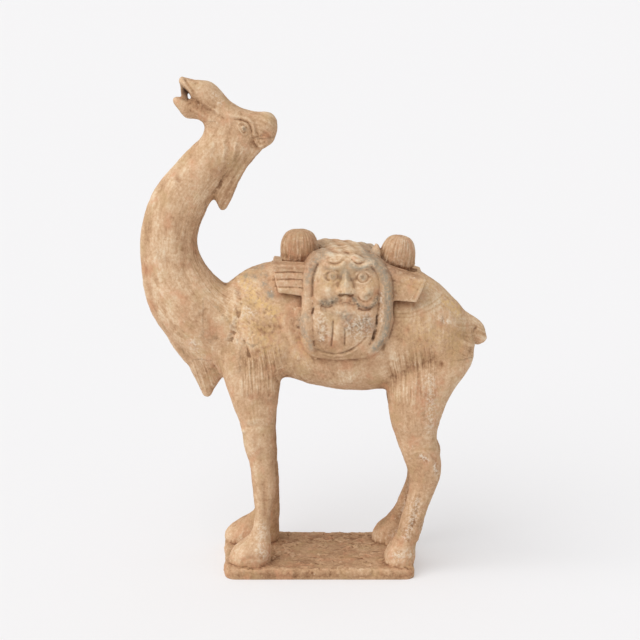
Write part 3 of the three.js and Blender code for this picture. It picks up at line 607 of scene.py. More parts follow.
# ---- relief pressed and cut into the clay, in the side view: path, half width and height, grooves below 0
relief = {
    "head": [
        ([(-121, 474), (-113, 466.5), (-105, 461), (-96, 456.5), (-88, 453)], 2.8, -0.55),  # from the mouth to the eye
        ([(-135.6, 495.7), (-130.3, 488.1), (-124.7, 480.5), (-122, 473.8)], 1.4, 1.2),  # upper lip
        ([(-130.5, 493), (-127, 487.5), (-122, 480)], 1.0, -0.9), ([(-120.8, 488.2), (-116.8, 489)], 1.2, -1.0),  # nostril
        ([(-79.6, 450), (-75.4, 451.4), (-71, 449.6), (-68.4, 445.4)], 0.9, 1.2),  # upper eyelid
        ([(-79.6, 449.6), (-77.4, 444.4), (-73.6, 439.8), (-69.4, 441.6)], 0.9, 1.1),  # lower eyelid
        ([(-77, 448.4), (-73.6, 448.8), (-70.6, 446)], 0.8, -1.0), ([(-77, 446), (-74.4, 442), (-71.4, 442.2)], 0.7, -0.7),
        ([(-92, 459.6), (-84, 457.2), (-75, 455.6), (-68, 453), (-64.6, 447.6), (-63.6, 441), (-61.6, 436)], 1.7, 1.4),  # brow
        ([(-84, 454.4), (-76, 453.8), (-69.4, 450.8), (-66.6, 445.4), (-66, 440)], 1.0, -0.8),
        ([(-61.4, 450), (-61.2, 444), (-59.4, 439)], 1.3, -0.5),
        ([(-63.4, 435.6), (-58, 436.6), (-53, 437), (-49.4, 433.8)], 0.9, 0.9),  # rim of the ear
        ([(-63.4, 435), (-60.6, 428.6), (-56.2, 425.6), (-52, 427.6), (-49.6, 432)], 0.9, 0.9),
        ([(-60.4, 433), (-56.4, 430.4), (-52.4, 432.8)], 1.4, -1.2),
        ([(-111, 445.9), (-108.2, 442), (-104.3, 438.1)], 2.0, 0.6),  # jowl
        ([(-127.1, 465), (-118.5, 461.2), (-109.9, 456.4), (-103.2, 451.6)], 1.9, 0.7),  # jaw
        ([(-95, 436), (-92.6, 426), (-94.9, 412)], 2.0, 0.7), ([(-81.4, 433), (-82.6, 424), (-85.6, 415)], 1.5, 0.9),
        ([(-87.6, 434), (-88.6, 424), (-91, 414)], 1.8, -0.5), ([(-101, 434), (-102, 424), (-105, 414)], 1.8, -0.4),
        ([(-77.4, 430), (-79.4, 420), (-82.6, 412)], 1.6, -0.5), ([(-90, 437), (-93.6, 432), (-92, 427)], 1.0, 0.5),
        ([(-97, 473), (-90, 466), (-80, 461)], 1.4, -0.3), ([(-108, 477), (-99, 467), (-90, 460.5)], 1.3, -0.3),
        ([(-114, 472), (-106, 466), (-97, 461)], 1.2, 0.35), ([(-116, 462), (-108, 456), (-101, 451)], 1.2, -0.3),
    ],
    "neck": [
        ([(-150.5, 390.9), (-163.8, 361.5), (-166.5, 326.9), (-159.5, 287), (-148.3, 256.8), (-129, 226.4)], 2.8, -0.9),
        ([(-118, 361.5), (-130, 341.8), (-133.4, 315), (-126.9, 292), (-113.4, 277)], 3.2, -0.8),
        ([(-58, 427.7), (-67.8, 415.2), (-77.6, 400.6), (-87.5, 381.1), (-95.5, 364.4)], 2.2, 1.6),  # mane
        ([(-64, 425), (-74, 410), (-83.5, 394), (-92, 376)], 2.2, -0.6),
        ([(-100, 408), (-106, 396), (-109, 384)], 2.2, -0.5), ([(-88, 414), (-95, 400), (-99, 384)], 2.0, -0.5),
        ([(-121, 424), (-139, 402), (-152, 378), (-157, 352)], 2.0, -0.5),
        ([(-128, 409), (-143, 389), (-150, 368)], 2.2, 0.8),
        ([(-91.8, 306.8), (-79.5, 283), (-82.7, 252.4), (-88.8, 232.4)], 3.0, -1.5),  # fold at its root
        ([(-118, 268), (-108, 256), (-101, 238)], 5, -0.9), ([(-128, 282), (-117, 262), (-112, 243)], 6, 0.8),
        ([(-141, 350), (-144, 325), (-140, 300)], 5, 0.7), ([(-128, 372), (-136, 352), (-139, 335)], 3.5, -0.6),
    ],
    "body": [
        ([(-74.5, 298), (-61.7, 290.5), (-49, 281), (-34, 277.4)], 1.1, -0.5),  # edge of the blanket, before
        ([(-76.5, 294), (-63, 286.3), (-50, 277.2), (-33, 273.8)], 1.0, 0.35),
        ([(70.9, 268.6), (85, 268.4), (97, 271), (112, 277.5), (124, 284)], 0.9, -0.55),  # and behind
        ([(70.9, 265), (86, 264.6), (99, 267.4), (114, 273), (128, 280)], 0.9, -0.5),
        ([(-77.6, 262.8), (-56.4, 252.8), (-34, 257.8)], 7, -1.5),
        ([(-74.9, 242.9), (-68.3, 222.9)], 2.2, -1.3), ([(-84.7, 250), (-88, 238)], 2.4, -1.4),
        ([(-38, 250), (-30, 236), (-34, 214)], 3, -0.9), ([(60, 246), (66, 222), (72, 200)], 3.6, -1.0),
        ([(118, 262), (132, 250), (141, 236)], 4, -0.9), ([(100, 262), (116, 244), (124, 220)], 6, 0.8),
        ([(-98, 282), (-92, 270), (-90, 258)], 2.2, 0.7), ([(-72, 262), (-66, 250), (-69, 240)], 1.4, -0.7),
        ([(-83, 288), (-78, 276), (-80, 262)], 1.6, -0.6), ([(-40, 262), (-30, 250), (-26, 238)], 3, 0.7),
        ([(-12, 222), (14, 218), (42, 222)], 5, -0.8), ([(-26, 206), (8, 197), (44, 200)], 4, 0.7),
    ],
    "legs": [
        ([(-75.8, 154.1), (-62, 155.8), (-47.3, 154.1)], 1.8, -0.5), ([(-73, 160), (-60, 162.5), (-49, 160)], 2.5, 0.6),
        ([(-70, 123), (-58, 121), (-48, 123)], 1.8, -0.4), ([(89.5, 128.5), (98, 131), (108, 131), (117, 128)], 1.6, -0.5),
        ([(88, 127), (98, 129), (107, 125), (113, 116)], 2.0, 0.7),  # folds round the hock
        ([(94, 123), (102, 121.5), (108, 115), (109, 104)], 1.6, -0.6), ([(112, 124), (116.5, 115), (116, 104)], 1.4, -0.5),
        ([(93, 140), (103, 143), (112, 141)], 2.2, 0.5), ([(101, 112), (103, 100), (99, 84)], 2.6, 0.5),
        ([(-64, 86), (-62, 66), (-63, 46)], 2.2, 0.6), ([(-56, 100), (-55, 76), (-56, 48)], 2.0, -0.7),
        ([(94, 84), (90, 62), (86, 46)], 2.0, 0.6), ([(100, 92), (97, 68), (91, 46)], 2.0, -0.7),
        ([(-70, 37.4), (-60, 35.4), (-50, 36.6)], 1.6, -0.5), ([(74.9, 36.8), (84, 35), (92.9, 37.6)], 1.6, -0.5),
        ([(-86, 23), (-80, 30), (-73, 34)], 1.3, 0.7), ([(-80, 16.5), (-68, 21), (-55, 19.5)], 1.8, -0.8),
        ([(-66, 30), (-58, 27), (-52, 22)], 2.2, 0.8), ([(70, 24), (78, 29), (88, 28)], 1.8, 0.7),
        ([(68, 16), (80, 20), (92, 17)], 1.7, -0.7),
    ],
    "bag": [
        ([(12.8, 266), (12.2, 252), (10.8, 237)], 0.8, -1.2), ([(24, 260), (24.2, 250), (23.8, 239)], 0.8, -1.1),
        ([(25, 321), (19.5, 317.4), (13.4, 316), (7.6, 317.8), (3.2, 321)], 2.4, 2.4),  # left brow
        ([(22, 324.6), (16, 321.8), (9, 322)], 0.9, 0.6), ([(24, 323.2), (16, 319.4), (8, 320.4)], 0.8, -0.8),
        ([(29, 322), (33, 317.3), (39.2, 315.8), (44.9, 318), (50, 320), (55, 317)], 2.6, 2.9),  # right brow
        ([(30, 325.4), (36, 322.2), (42.6, 322.6)], 1.0, 0.9), ([(29.4, 324), (36, 319.6), (44, 321.4)], 0.8, -1.0),
        ([(3, 309), (7, 312), (12.5, 312.6), (17.5, 309.4)], 1.1, 0.8),  # lids
        ([(1.6, 306.4), (7, 302.4), (14, 301.8), (18, 304.6)], 1.2, 0.8),
        ([(34.2, 308.6), (38.4, 312), (43.6, 311.8), (49, 308.4)], 1.1, 0.9),
        ([(34.6, 303.6), (39, 300.6), (45, 301.4), (50, 305.6)], 1.1, 1.0),
        ([(17.5, 289.5), (12.5, 284.6), (6.6, 281.8), (1, 283.6), (-2.6, 288)], 2.6, 1.9),  # whiskers
        ([(13, 279.6), (7, 277.4), (0, 279.4)], 1.4, -0.9),
        ([(31, 289.6), (34.6, 284), (40, 279.8), (47, 279), (53, 283.6), (55, 290)], 2.5, 2.0),
        ([(36, 276.6), (43, 274.6), (50, 276.6)], 1.4, -1.2), ([(35.5, 289), (39.4, 284.6), (45.4, 283.4), (50.6, 287.4)], 1.1, -1.1),
        ([(17.2, 290.2), (20, 288.6), (24.9, 289.6), (29.8, 288.4), (33.2, 290.2)], 1.1, -1.5),  # under the nose
        ([(18, 286), (16.6, 280.6)], 1.5, 0.9), ([(31, 285.6), (32, 280.4)], 1.5, 0.9),  # fangs
        ([(18.4, 281.6), (24.5, 283.4), (31, 281.4)], 1.2, 0.5), ([(14, 274), (24, 271), (35, 273.6)], 1.5, 0.8),
        ([(17.6, 262), (17.2, 250), (17.6, 240)], 3.0, 0.9),  # tongue
        ([(3, 268), (8.6, 263), (9.4, 254)], 2.4, 0.7), ([(-1.5, 262), (2, 252), (1.5, 244)], 2.0, 0.7),
        ([(-2, 275), (3, 271), (9, 272.6)], 1.4, 0.8), ([(5, 247), (9, 242)], 2.4, 0.7),
        ([(-4.8, 236), (3, 231.6), (14, 230.4), (25, 232.4), (34.3, 237.4), (42, 244), (47, 252)], 1.1, -1.0),  # hems
        ([(-10.2, 226.5), (18.2, 224.5), (48, 227)], 1.4, 0.8), ([(-2, 233), (12, 228.4), (26, 230), (38, 237)], 1.2, 0.7),
        ([(4.5, 325.8), (14, 327.9), (30, 327.4), (44, 325)], 1.5, 1.2), ([(5, 323.4), (14, 325.6), (30, 325)], 0.9, -0.6),
        ([(-6.2, 276.2), (-7.6, 269.6)], 0.9, -1.5), ([(55.2, 269.3), (54.7, 259.2)], 0.9, -1.6),
        ([(53.3, 254.2), (50.9, 244)], 1.0, -1.7), ([(-6.4, 244), (-5.4, 238)], 0.9, -1.2),
        ([(70, 268), (67.6, 252), (61, 238)], 1.2, -0.6), ([(-18, 262), (-16, 250), (-9, 236)], 1.2, -0.7),
    ],
    "boards": [
        ([(-46.4, 309.4), (-30, 309.9), (-16.4, 309.6)], 0.7, -0.9), ([(-44, 302.4), (-30, 302.9), (-16.4, 302.7)], 0.7, -0.9),
        ([(-42, 295.1), (-30, 295.2), (-16.4, 294.7)], 0.7, -0.8), ([(-34, 313), (-26, 312.8)], 0.7, -0.35),
        ([(68.5, 302.6), (84, 297.6), (97, 291.6)], 0.9, -0.45), ([(74, 309), (84, 306.2), (94, 302)], 0.8, 0.3),
        ([(97.5, 299.5), (93.5, 291), (89.5, 282.5)], 0.9, -0.5),
    ],
}
knobs = [  # x, z, radius, height of a lump, below 0 for a dimple
    (-106, 459, 1.8, 0.5), (-101.6, 456.6, 1.7, 0.5), (-103.6, 452.6, 1.6, 0.4), (-97.6, 454.4, 1.8, 0.6), (-99, 450, 1.6, 0.5),
    (-94, 451.6, 1.6, 0.5), (-91, 455, 1.4, 0.4), (-107.6, 454, 1.6, 0.4), (-95, 447.4, 1.6, 0.4),
    (-73.3, 445.4, 2.6, 0.8), (-73.3, 445.4, 1.0, -0.6), (125.2, 287.3, 4, 1.6), (130.5, 283.5, 3, -0.9),
    (117.2, 262.3, 2.6, 1.0), (125.4, 257.3, 2.4, 1.0), (85.7, 253.2, 2.0, -0.9), (119.5, 217.3, 2.2, -1.0),
    (-60.4, 230.9, 2.4, -1.0), (-138.5, 396.5, 2.6, -1.3), (-75.9, 148.9, 2.2, 1.6), (99, 34.7, 3.2, 1.0),
    (-43.6, 86, 2.0, 1.2), (-109, 358, 2.6, -0.8), (155.4, 246.6, 2.2, -1.1), (150.3, 227.4, 3.4, -1.6),
    (12.0, 307.2, 1.1, -0.5), (40.8, 306.6, 1.1, -0.6), (19.6, 293.4, 1.0, -1.3), (30.2, 293.4, 1.0, -1.3),
    (46, 293, 2.6, 1.0), (41.6, 296.6, 1.6, -0.6), (8, 295.4, 2.4, 0.7), (46.4, 289.6, 1.4, -0.7),
    (24.1, 269.3, 3.4, 0.7), (1.5, 246.0, 2.8, 0.9), (32, 262, 2.0, 0.9), (36.5, 258, 2.0, 0.9), (35.6, 264.6, 1.8, 0.8),
    (40.5, 262, 2.0, 1.0), (43.6, 266.6, 1.9, 0.9), (46.6, 262.4, 1.8, 0.7), (31, 256.4, 1.8, 0.6), (41.6, 257, 1.8, 0.7),
    (28, 260, 1.4, 0.6), (45, 270, 1.6, 0.5), (24.6, 279, 2.2, 0.7), (-82, 268, 3, -0.9), (-142, 246, 2.6, 1.2), (-96, 262, 4, 0.8),
    (-141, 312, 3, -0.5), (-70, 182, 4, 0.6), (-52, 178, 3.5, -0.6), (92, 158, 4, 0.7), (104, 170, 4, -0.6),
]
skin = {"lumps": 0.7, "waves": 0.32, "grit": 0.14, "crust": 0.6, "slabPits": 0.8, "slabCracks": 1.1}
combs = [  # hair that runs up and down: middle x and z, half width, half height, strength
    (-57, 212, 26, 34, 1.3), (90, 206, 30, 36, 1.1), (-110, 200, 22, 24, 1.0), (6, 208, 56, 18, 0.4),
    (-96, 262, 30, 34, 0.4), (104, 258, 34, 30, 0.35), (-58, 170, 18, 18, 0.4), (96, 168, 24, 20, 0.4),
]


def strands(across, along, pitch, length, seed):
    # noise drawn out along the strands: narrow across them and long along them
    steady = np.full(len(across), 0.5 + seed)
    return grain(np.stack([across / pitch, along / length, steady], 1), 1, seed)


def neckCourse(points):
    # how far each point lies across the neck, in mm from its middle line, and how far along it
    rows = np.array(body["neck"], float)
    line = spline((rows[:, :2] + rows[:, 2:4]) / 2, np.linspace(0, 1, 60))
    gap, share, hand = nearestOn(line, points[:, 0], points[:, 2])
    return gap * hand, share * 320


def hairOf(points, normals):
    # where hair is combed into the clay: mm across the strands, mm along them, and how strong they are
    x, y, z = points.T
    across, along, amount = x + 0.5 * y, z.copy(), np.zeros(len(x))

    def lay(where, newAcross, newAlong, strength):
        here = where & (strength > amount)
        across[here], along[here], amount[here] = newAcross[here], newAlong[here], strength[here]

    for mx, mz, halfWide, halfHigh, strength in combs:
        inside = fade(0.5, 1, np.abs(x - mx) / halfWide) * fade(0.5, 1, np.abs(z - mz) / halfHigh)
        lay(inside > 0, x + 0.4 * y * np.sign(y) + 0.08 * (z - mz), z, strength * inside)
    here = (x < -50) & (z > 205) & (z < 452)
    off, down = neckCourse(points)
    onKeel = rise(17, 23, np.abs(off)) * (x < -60)
    lay(here, off + 0.7 * np.abs(y), down, (0.34 + 0.35 * onKeel) * fade(-66, -50, x) * rise(205, 225, z))
    mane = (x > -112) & (x < -44) & (z > 362) & (z < 432) & ((x + 84) * 0.82 - (z - 392) * 0.57 > -12)
    lay(mane, (x + 90) * 0.82 - (z - 380) * 0.57 + 0.4 * np.abs(y), (x + 90) * 0.57 + (z - 380) * 0.82,
        0.8 * fade(424, 432, z))
    crest = (x > -70) & (z > 436) & (np.abs(y) < 19)
    lay(crest, np.hypot(x + 66, z - 424), 40 * np.arctan2(z - 424, x + 66), 0.75 * rise(-70, -62, x))
    tail = (x > 128) & (z > 220) & (z < 268)
    lay(tail, z + 0.7 * x + 0.4 * np.abs(y), x, 0.8 * rise(128, 142, x))
    for hx, hz, height, radius, lean in humps.values():
        tilt = np.radians(lean)
        forward = (x - hx) * np.cos(tilt) - (z - hz) * np.sin(tilt)
        high = (z - hz) * np.cos(tilt) + (x - hx) * np.sin(tilt)
        inside = (np.hypot(forward, y / 0.92) < radius * 1.12) & (high > -4)
        lay(inside, np.arctan2(y / 0.92, forward) * radius, high, 1.3 * rise(-4, 3, high) * fade(0.8, 1.08, high / height))
    return across, along, amount


def reliefOf(points, normals):
    # how far each point goes out along its normal, in mm
    x, y, z = points.T
    outward = normals[:, 1] * np.sign(y)
    sideways = rise(0.08, 0.45, outward) * np.where(y < 0, 1, 0.72)
    lift = np.zeros(len(points))
    onBag = rise(46, 50, np.abs(y)) * (x > -24) * (x < 76) * (z > 222)
    places = {"bag": onBag, "boards": rise(43, 46, np.abs(y)), "neck": (x < -44) * (z > 225), "head": z > 405}
    for group, strokes in relief.items():
        lift += sideways * places.get(group, 1) * sum(stroke(x, z, *line) for line in strokes)
    for kx, kz, radius, height in knobs:
        lift += sideways * height * bell(np.hypot(x - kx, z - kz), radius)

    # locks of hair, coarser than the strands that the material draws
    across, along, amount = hairOf(points, normals)
    wander = 1.5 * grain(points, 16, 23)
    locks = strands(across + wander, along, 4.4, 34, 5)
    lift -= 0.5 * amount * rise(-0.2, 0.6, locks)

    # the ragged foot of each hump
    for hx, hz, height, radius, lean in humps.values():
        tilt = np.radians(lean)
        forward = (x - hx) * np.cos(tilt) - (z - hz) * np.sin(tilt)
        high = (z - hz) * np.cos(tilt) + (x - hx) * np.sin(tilt)
        near = (np.hypot(forward, y / 0.92) < radius * 1.15) & (high > -4)
        lift += near * (0.9 * grain(points, 4, 37) * fade(4, 10, high) * rise(-3, 2, high) - 2.0 * bell(high + 0.5, 1.8))

    # the scalloped top of the pack, and the cleft between the two toes of each foot
    onTop = rise(0.5, 0.9, normals[:, 2]) * rise(317, 322, z) * (np.abs(x - 27) < 34)
    lift += onTop * (0.9 * grain(points * [1, 0.5, 1], 9, 97) + 0.5 * np.cos((x + 0.2 * y) * 2 * np.pi / 13))
    for side, toe, heel, ankle, wide in legs["feet"].values():
        across = bell(y - side * legs["spread"], 1.7)
        lift -= 1.8 * across * fade(toe + 10, toe + 22, x) * rise(toe - 8, toe - 2, x) * fade(26, 34, z) * rise(11, 14, z)
    return lift


def skinOf(points, normals):
    # the unevenness of hand-pressed, buried clay: broad lumps, waves, grit, crusts of soil, and the pitted slab
    x, y, z = points.T
    slab = fade(10.6, 12.5, z) * (np.abs(x) < 112)
    calm = 1 - 0.45 * rise(44, 48, np.abs(y)) * (z > 222) * (x > -50) * (x < 106)  # the pack is crisper
    lift = calm * (skin["lumps"] * rough(points, 34, 41, 2) + skin["waves"] * rough(points, 11, 43, 2))
    lift *= 1 - 0.6 * slab
    lift += skin["grit"] * rough(points, 3.2, 47, 2)
    soil = bell(np.hypot((x + 58) / 1.4, z - 258), 34) + bell(np.hypot((x + 6) / 1.2, z - 236), 30) + 0.8 * fade(10, 30, z)
    lift += calm * skin["crust"] * rise(0.3, 0.55, rough(points, 7, 53, 3)) * np.clip(0.25 + soil, 0, 1)
    onTop = slab * rise(0.5, 0.9, normals[:, 2])
    patches = rise(0.0, 0.4, rough(points, 30, 71, 2))
    lift -= onTop * skin["slabPits"] * rise(0.2, 0.6, rough(points * [0.7, 1, 1], 6, 61, 3)) * (0.15 + 0.85 * patches)
    cracks = np.abs(rough(points * [0.55, 1, 0.5], 11, 67, 3))
    lift -= onTop * skin["slabCracks"] * fade(0.02, 0.10, cracks) * patches * rise(0.0, 0.4, rough(points, 8, 79, 2))
    lift += slab * (1 - onTop) * (0.8 * rough(points, 16, 73, 2) + 0.3 * rough(points, 4, 89, 2))
    return lift * rise(0.8, 3, z)  # the underside stays flat


points, normals = pointsOf(whole), normalsOf(whole)
points = points + normals * reliefOf(points, normals)[:, None]
setPoints(whole, points)
normals = normalsOf(whole)
points = points + normals * skinOf(points, normals)[:, None]
points[:, 2] = np.where(points[:, 2] < 1.2, 0, points[:, 2])
setPoints(whole, points)
triangles = len(whole.loops) - 2 * len(whole.polygons)
whole = withModifier(whole, "DECIMATE", ratio=min(1, detail["triangles"] / triangles), use_collapse_triangulate=True)
print("relief:", len(whole.polygons), "faces after thinning")

# ---- colour of each place on the clay, painted shade and light among them, in the side view; each entry is a path or a spot, its half width and strength
tints = {
    "greyPaint": [  # grey-blue pigment left on the straps, the brows and the blanket
        ([(3, 327), (-5, 321), (-9.5, 312), (-12, 303)], 4.4, 0.6), ([(20, 306), (24, 313), (29, 306)], 3.6, 0.55),
        ([(-12, 300), (-13.5, 285)], 3.4, 0.25), ([(5, 306), (8, 309)], 2.4, 0.3),
        ([(-13.5, 268), (-17.6, 259.3), (-8.9, 237.8)], 4, 0.6),
        ([(44, 326), (54, 319), (62, 309), (65.5, 293)], 5.5, 0.75), ([(65.5, 293), (66, 272), (62, 246), (53, 236)], 4.2, 0.9),
        ([(28.7, 318), (36, 314.5), (43, 316), (52, 318)], 3.0, 0.6), ([(46, 321), (53, 313)], 6, 0.5),
        ([(5, 315), (16, 314.5)], 2.6, 0.35), ([(14, 286), (3, 282)], 2.8, 0.6), ([(25, 268), (24, 271)], 5, 0.6),
        ([(22, 300), (25, 311)], 3.2, 0.45), ([(0, 326), (8, 331)], 5, 0.4), ([(46, 327), (50, 322)], 4, 0.5),
        ([(-65.7, 309.4), (-64, 309)], 3.0, 0.8), ([(-57.4, 310), (-57, 309)], 2.6, 0.7),
        ([(-73.2, 300.4), (-72, 300)], 2.6, 0.8), ([(-64.8, 300.4), (-64, 300)], 2.8, 0.75),
        ([(-54.9, 295.1), (-54, 295)], 3.0, 0.85), ([(-49.2, 288.5), (-48, 285)], 3.6, 1.0),
        ([(-53, 303), (-52, 302)], 2.2, 0.6), ([(-58, 303), (-58, 302)], 1.8, 0.5), ([(46, 266), (52, 258)], 3, 0.4),
        ([(-80, 286), (-79, 284)], 2.2, 0.45), ([(90, 272), (104, 277)], 1.6, 0.3),
    ],
    "darkPaint": [  # what is left of the black of the whiskers, pupils and beard, and painted shade along the narrow grooves of the mask, straps and hems
        ([(14, 285), (9, 281), (2, 281.5)], 3.4, 1.0), ([(32, 287), (36, 281), (42, 277.6), (50, 278.4), (54.6, 286)], 2.6, 1.0),
        ([(44, 288), (48, 291)], 3.0, 0.6), ([(39, 262), (45, 267)], 3.6, 0.75), ([(26, 256), (36, 262)], 3.4, 0.75),
        ([(20, 291), (30, 291)], 1.6, 0.6), ([(22, 281), (28, 281)], 2, 0.5), ([(12.6, 264), (11, 239)], 0.9, 0.6),
        ([(24, 259), (23.8, 240)], 0.9, 0.5), ([(-4, 235), (14, 230)], 1.0, 0.4), ([(20, 231), (34, 236.5)], 1.2, 0.5),
        ([(28, 264), (46, 258)], 8, 0.55), ([(2, 262), (-2, 246)], 5, 0.3), ([(12, 272), (30, 268)], 4, 0.35),
        ([(12, 307.4), (12.4, 307.2)], 2.6, 0.8), ([(40.6, 306.8), (41, 306.6)], 2.8, 0.9), ([(3, 276), (5, 274)], 2.2, 0.5),
        ([(28.7, 320), (39, 315.5)], 1.2, 0.5), ([(-73.3, 445.6), (-73, 445)], 2.4, 0.9), ([(58, 306), (59, 303)], 2, 0.5),
        ([(-6.2, 276.2), (-7.6, 269.6)], 1.0, 0.9), ([(55.2, 269.3), (54.7, 258)], 1.1, 0.9),
        ([(53.3, 254.2), (50.9, 244)], 1.2, 0.9), ([(-2, 318), (-6.6, 304), (-7.2, 294)], 1.1, 0.7),
    ],
    "yellowSlip": [  # the yellow ground below the blanket and on the flanks
        ([(-79, 303), (-65, 283.4), (-56, 276.3), (-44, 267)], 7.5, 1.0), ([(124, 277), (136, 267)], 6, 0.9),
        ([(-76, 262), (-60, 250), (-50, 236)], 16, 0.5), ([(86, 300), (112, 292)], 7, 0.4), ([(100, 250), (130, 240)], 18, 0.35),
        ([(-20, 240), (-16, 225)], 12, 0.35), ([(8, 306), (20, 300)], 10, 0.4),
    ],
    "whiteGround": [  # specks and rubbed places where the white ground shows
        ([(1.5, 246.0), (1.7, 245)], 2.8, 1.0), ([(-72, 270), (-66, 268)], 4, 0.5), ([(-123, 231), (-126, 236)], 4, 0.5),
        ([(118, 60), (104, 50)], 4, 0.5), ([(108, 205), (110, 150)], 5, 0.4), ([(-58, 50), (-60, 34)], 5, 0.4),
        ([(96, 76), (90, 48)], 5, 0.5), ([(117.2, 262.3), (125.4, 257.3)], 2.2, 0.8), ([(34, 250), (46, 254)], 5, 0.45),
        ([(30, 258), (44, 264)], 7, 0.6), ([(0, 268), (4, 250)], 6, 0.4), ([(100, 124), (106, 120)], 2.4, 0.9),
        ([(114, 114), (116, 106)], 2.0, 0.9), ([(92, 60), (86, 40)], 4, 0.6), ([(76, 22), (92, 24)], 5, 0.5),
        ([(59, 292), (59, 262)], 1.6, 0.6), ([(-60, 28), (-54, 20)], 4, 0.5), ([(-102, 478), (-96, 470)], 3, 0.35),
    ],
    "umber": [  # the browner clay of the humps, and painted shade in sheltered places: on and under the boards, under the belly and pack, and in dimples and grooves
        ([(-22, 334), (-20, 322)], 17, 0.6), ([(-8, 334), (-6, 322)], 7, 0.7), ([(78, 330), (76, 318)], 14, 0.4),
        ([(-46, 319.5), (-8, 319)], 2.6, 1.0), ([(62, 314), (96, 305.5)], 2.6, 1.0), ([(-44, 286), (-20, 283)], 4, 0.7),
        ([(-44, 315), (-4, 313)], 2.0, 0.8), ([(60, 311), (94, 307)], 2.2, 0.9),
        ([(72, 279), (92, 276)], 3, 0.7), ([(-86, 262), (-92, 236)], 8, 0.3), ([(-46, 182), (-72, 186)], 5, 0.6),
        ([(-140, 352), (-138, 330)], 5, 0.35), ([(-130, 312), (-134, 340)], 5, 0.45), ([(-120, 262), (-108, 240)], 12, 0.4),
        ([(-6, 238), (6, 228)], 10, 0.5), ([(14, 218), (60, 222)], 9, 0.35), ([(110, 128), (116, 110)], 6, 0.3),
        ([(-139, 398), (-137, 395)], 3, 0.8), ([(-156, 322), (-150, 318)], 4, 0.5), ([(-88, 385), (-98, 366)], 3, 0.6),
        ([(-104, 424), (-98, 400)], 6, 0.3), ([(-62, 404), (-84, 372)], 3, 0.35), ([(-82, 262), (-88, 246)], 3, 0.8),
        ([(-58, 253), (-44, 250)], 5, 0.6), ([(-60, 231), (-62, 229)], 3.5, 0.8), ([(-40, 232), (-36, 222)], 5, 0.5),
        ([(56, 236), (66, 222)], 6, 0.4), ([(119, 218), (120, 216)], 3, 0.7), ([(134, 262), (140, 244)], 5, 0.5),
        ([(98, 192), (110, 184)], 6, 0.55), ([(-60, 188), (-48, 180)], 5, 0.5), ([(-66, 140), (-60, 128)], 5, 0.35),
        ([(-56, 92), (-55, 64)], 3.4, 0.4), ([(-28, 268), (-22, 246)], 5, 0.55), ([(-70, 22), (-56, 16)], 5, 0.3),
    ],
    "pale": [  # where the slip is cleaner and lighter, and painted light on the lit front of the neck, the top of the pack and the crest of the mane
        ([(-84, 268), (-74, 240)], 11, 0.9), ([(-52, 240), (-40, 222)], 8, 0.5), ([(-160, 330), (-150, 270)], 9, 0.5),
        ([(-148, 398), (-166, 356)], 6, 0.5), ([(2, 330), (40, 330)], 7, 1.0), ([(-2, 312), (4, 296)], 6, 0.5),
        ([(-40, 306), (-20, 300)], 8, 0.6), ([(112, 272), (130, 262)], 8, 0.5), ([(-66, 424), (-82, 396)], 3, 0.8),
        ([(-64, 110), (-60, 60)], 3, 0.5), ([(-128, 246), (-118, 222)], 9, 0.5), ([(84, 290), (100, 290)], 7, 0.3),
        ([(22, 205), (60, 208)], 8, 0.35), ([(56, 300), (60, 260)], 2, 0.5), ([(-86, 470), (-100, 478)], 5, 0.3),
    ],
    "dusk": [  # painted shade, where the whole surface is a little darker: the poll and head, the back of the neck and mane, the legs, under the pack and the tail, and the foot of the slab
        ([(-58, 452), (-44, 440)], 14, 1.0), ([(-70, 460), (-110, 486)], 9, 0.45), ([(-104, 466), (-126, 464)], 9, 0.6),
        ([(96, 110), (96, 46)], 16, 0.8), ([(-62, 416), (-90, 376)], 6, 0.5), ([(-120, 330), (-122, 350)], 8, 0.5),
        ([(0, 240), (40, 222)], 14, 0.4), ([(70, 250), (90, 230)], 16, 0.3), ([(-46, 150), (-46, 60)], 5, 0.7),
        ([(64, 196), (72, 150)], 6, 0.5), ([(-90, 4), (90, 4)], 5, 1.2), ([(130, 240), (146, 226)], 9, 0.5),
    ],
    "pinkClay": [  # the bare, pink-orange clay
        ([(100, 170), (95, 200)], 9, 0.6), ([(-86, 20), (-60, 15)], 8, 0.6), ([(70, 16), (94, 16)], 8, 0.5),
        ([(-20, 338), (-18, 318)], 18, 0.5), ([(78, 334), (76, 312)], 16, 0.4), ([(-62, 240), (-58, 225)], 6, 0.4),
        ([(-44, 308), (-16, 290)], 14, 0.35), ([(-20, 252), (-16, 232)], 10, 0.4), ([(28, 280), (30, 262)], 7, 0.45),
        ([(-50, 184), (-46, 176)], 6, 0.5), ([(120, 196), (112, 176)], 7, 0.4), ([(-106, 212), (-100, 192)], 9, 0.4),
    ],
}


def tintOf(points, entries):
    # the strongest of the bells around the paths, worn away towards the far side, where the photograph shows nothing
    x, y, z = points.T
    amount = np.zeros(len(points))
    outward = rise(-2, 6, np.abs(y)) * np.where(y < 0, 1, 0.7)
    for path, width, strength in entries:
        line = smoothPath(path) if len(path) > 2 else np.array(path, float)
        low, high = line.min(0) - 2.2 * width, line.max(0) + 2.2 * width
        here = np.flatnonzero((x > low[0]) & (x < high[0]) & (z > low[1]) & (z < high[1]))
        gap, _, _ = nearestOn(line, x[here], z[here])
        amount[here] = np.maximum(amount[here], strength * bell(gap, width) * outward[here])
    return amount


def putAttribute(mesh, name, values):
    mesh.attributes.new(name, "FLOAT", "POINT").data.foreach_set("value", values.astype(np.float32))


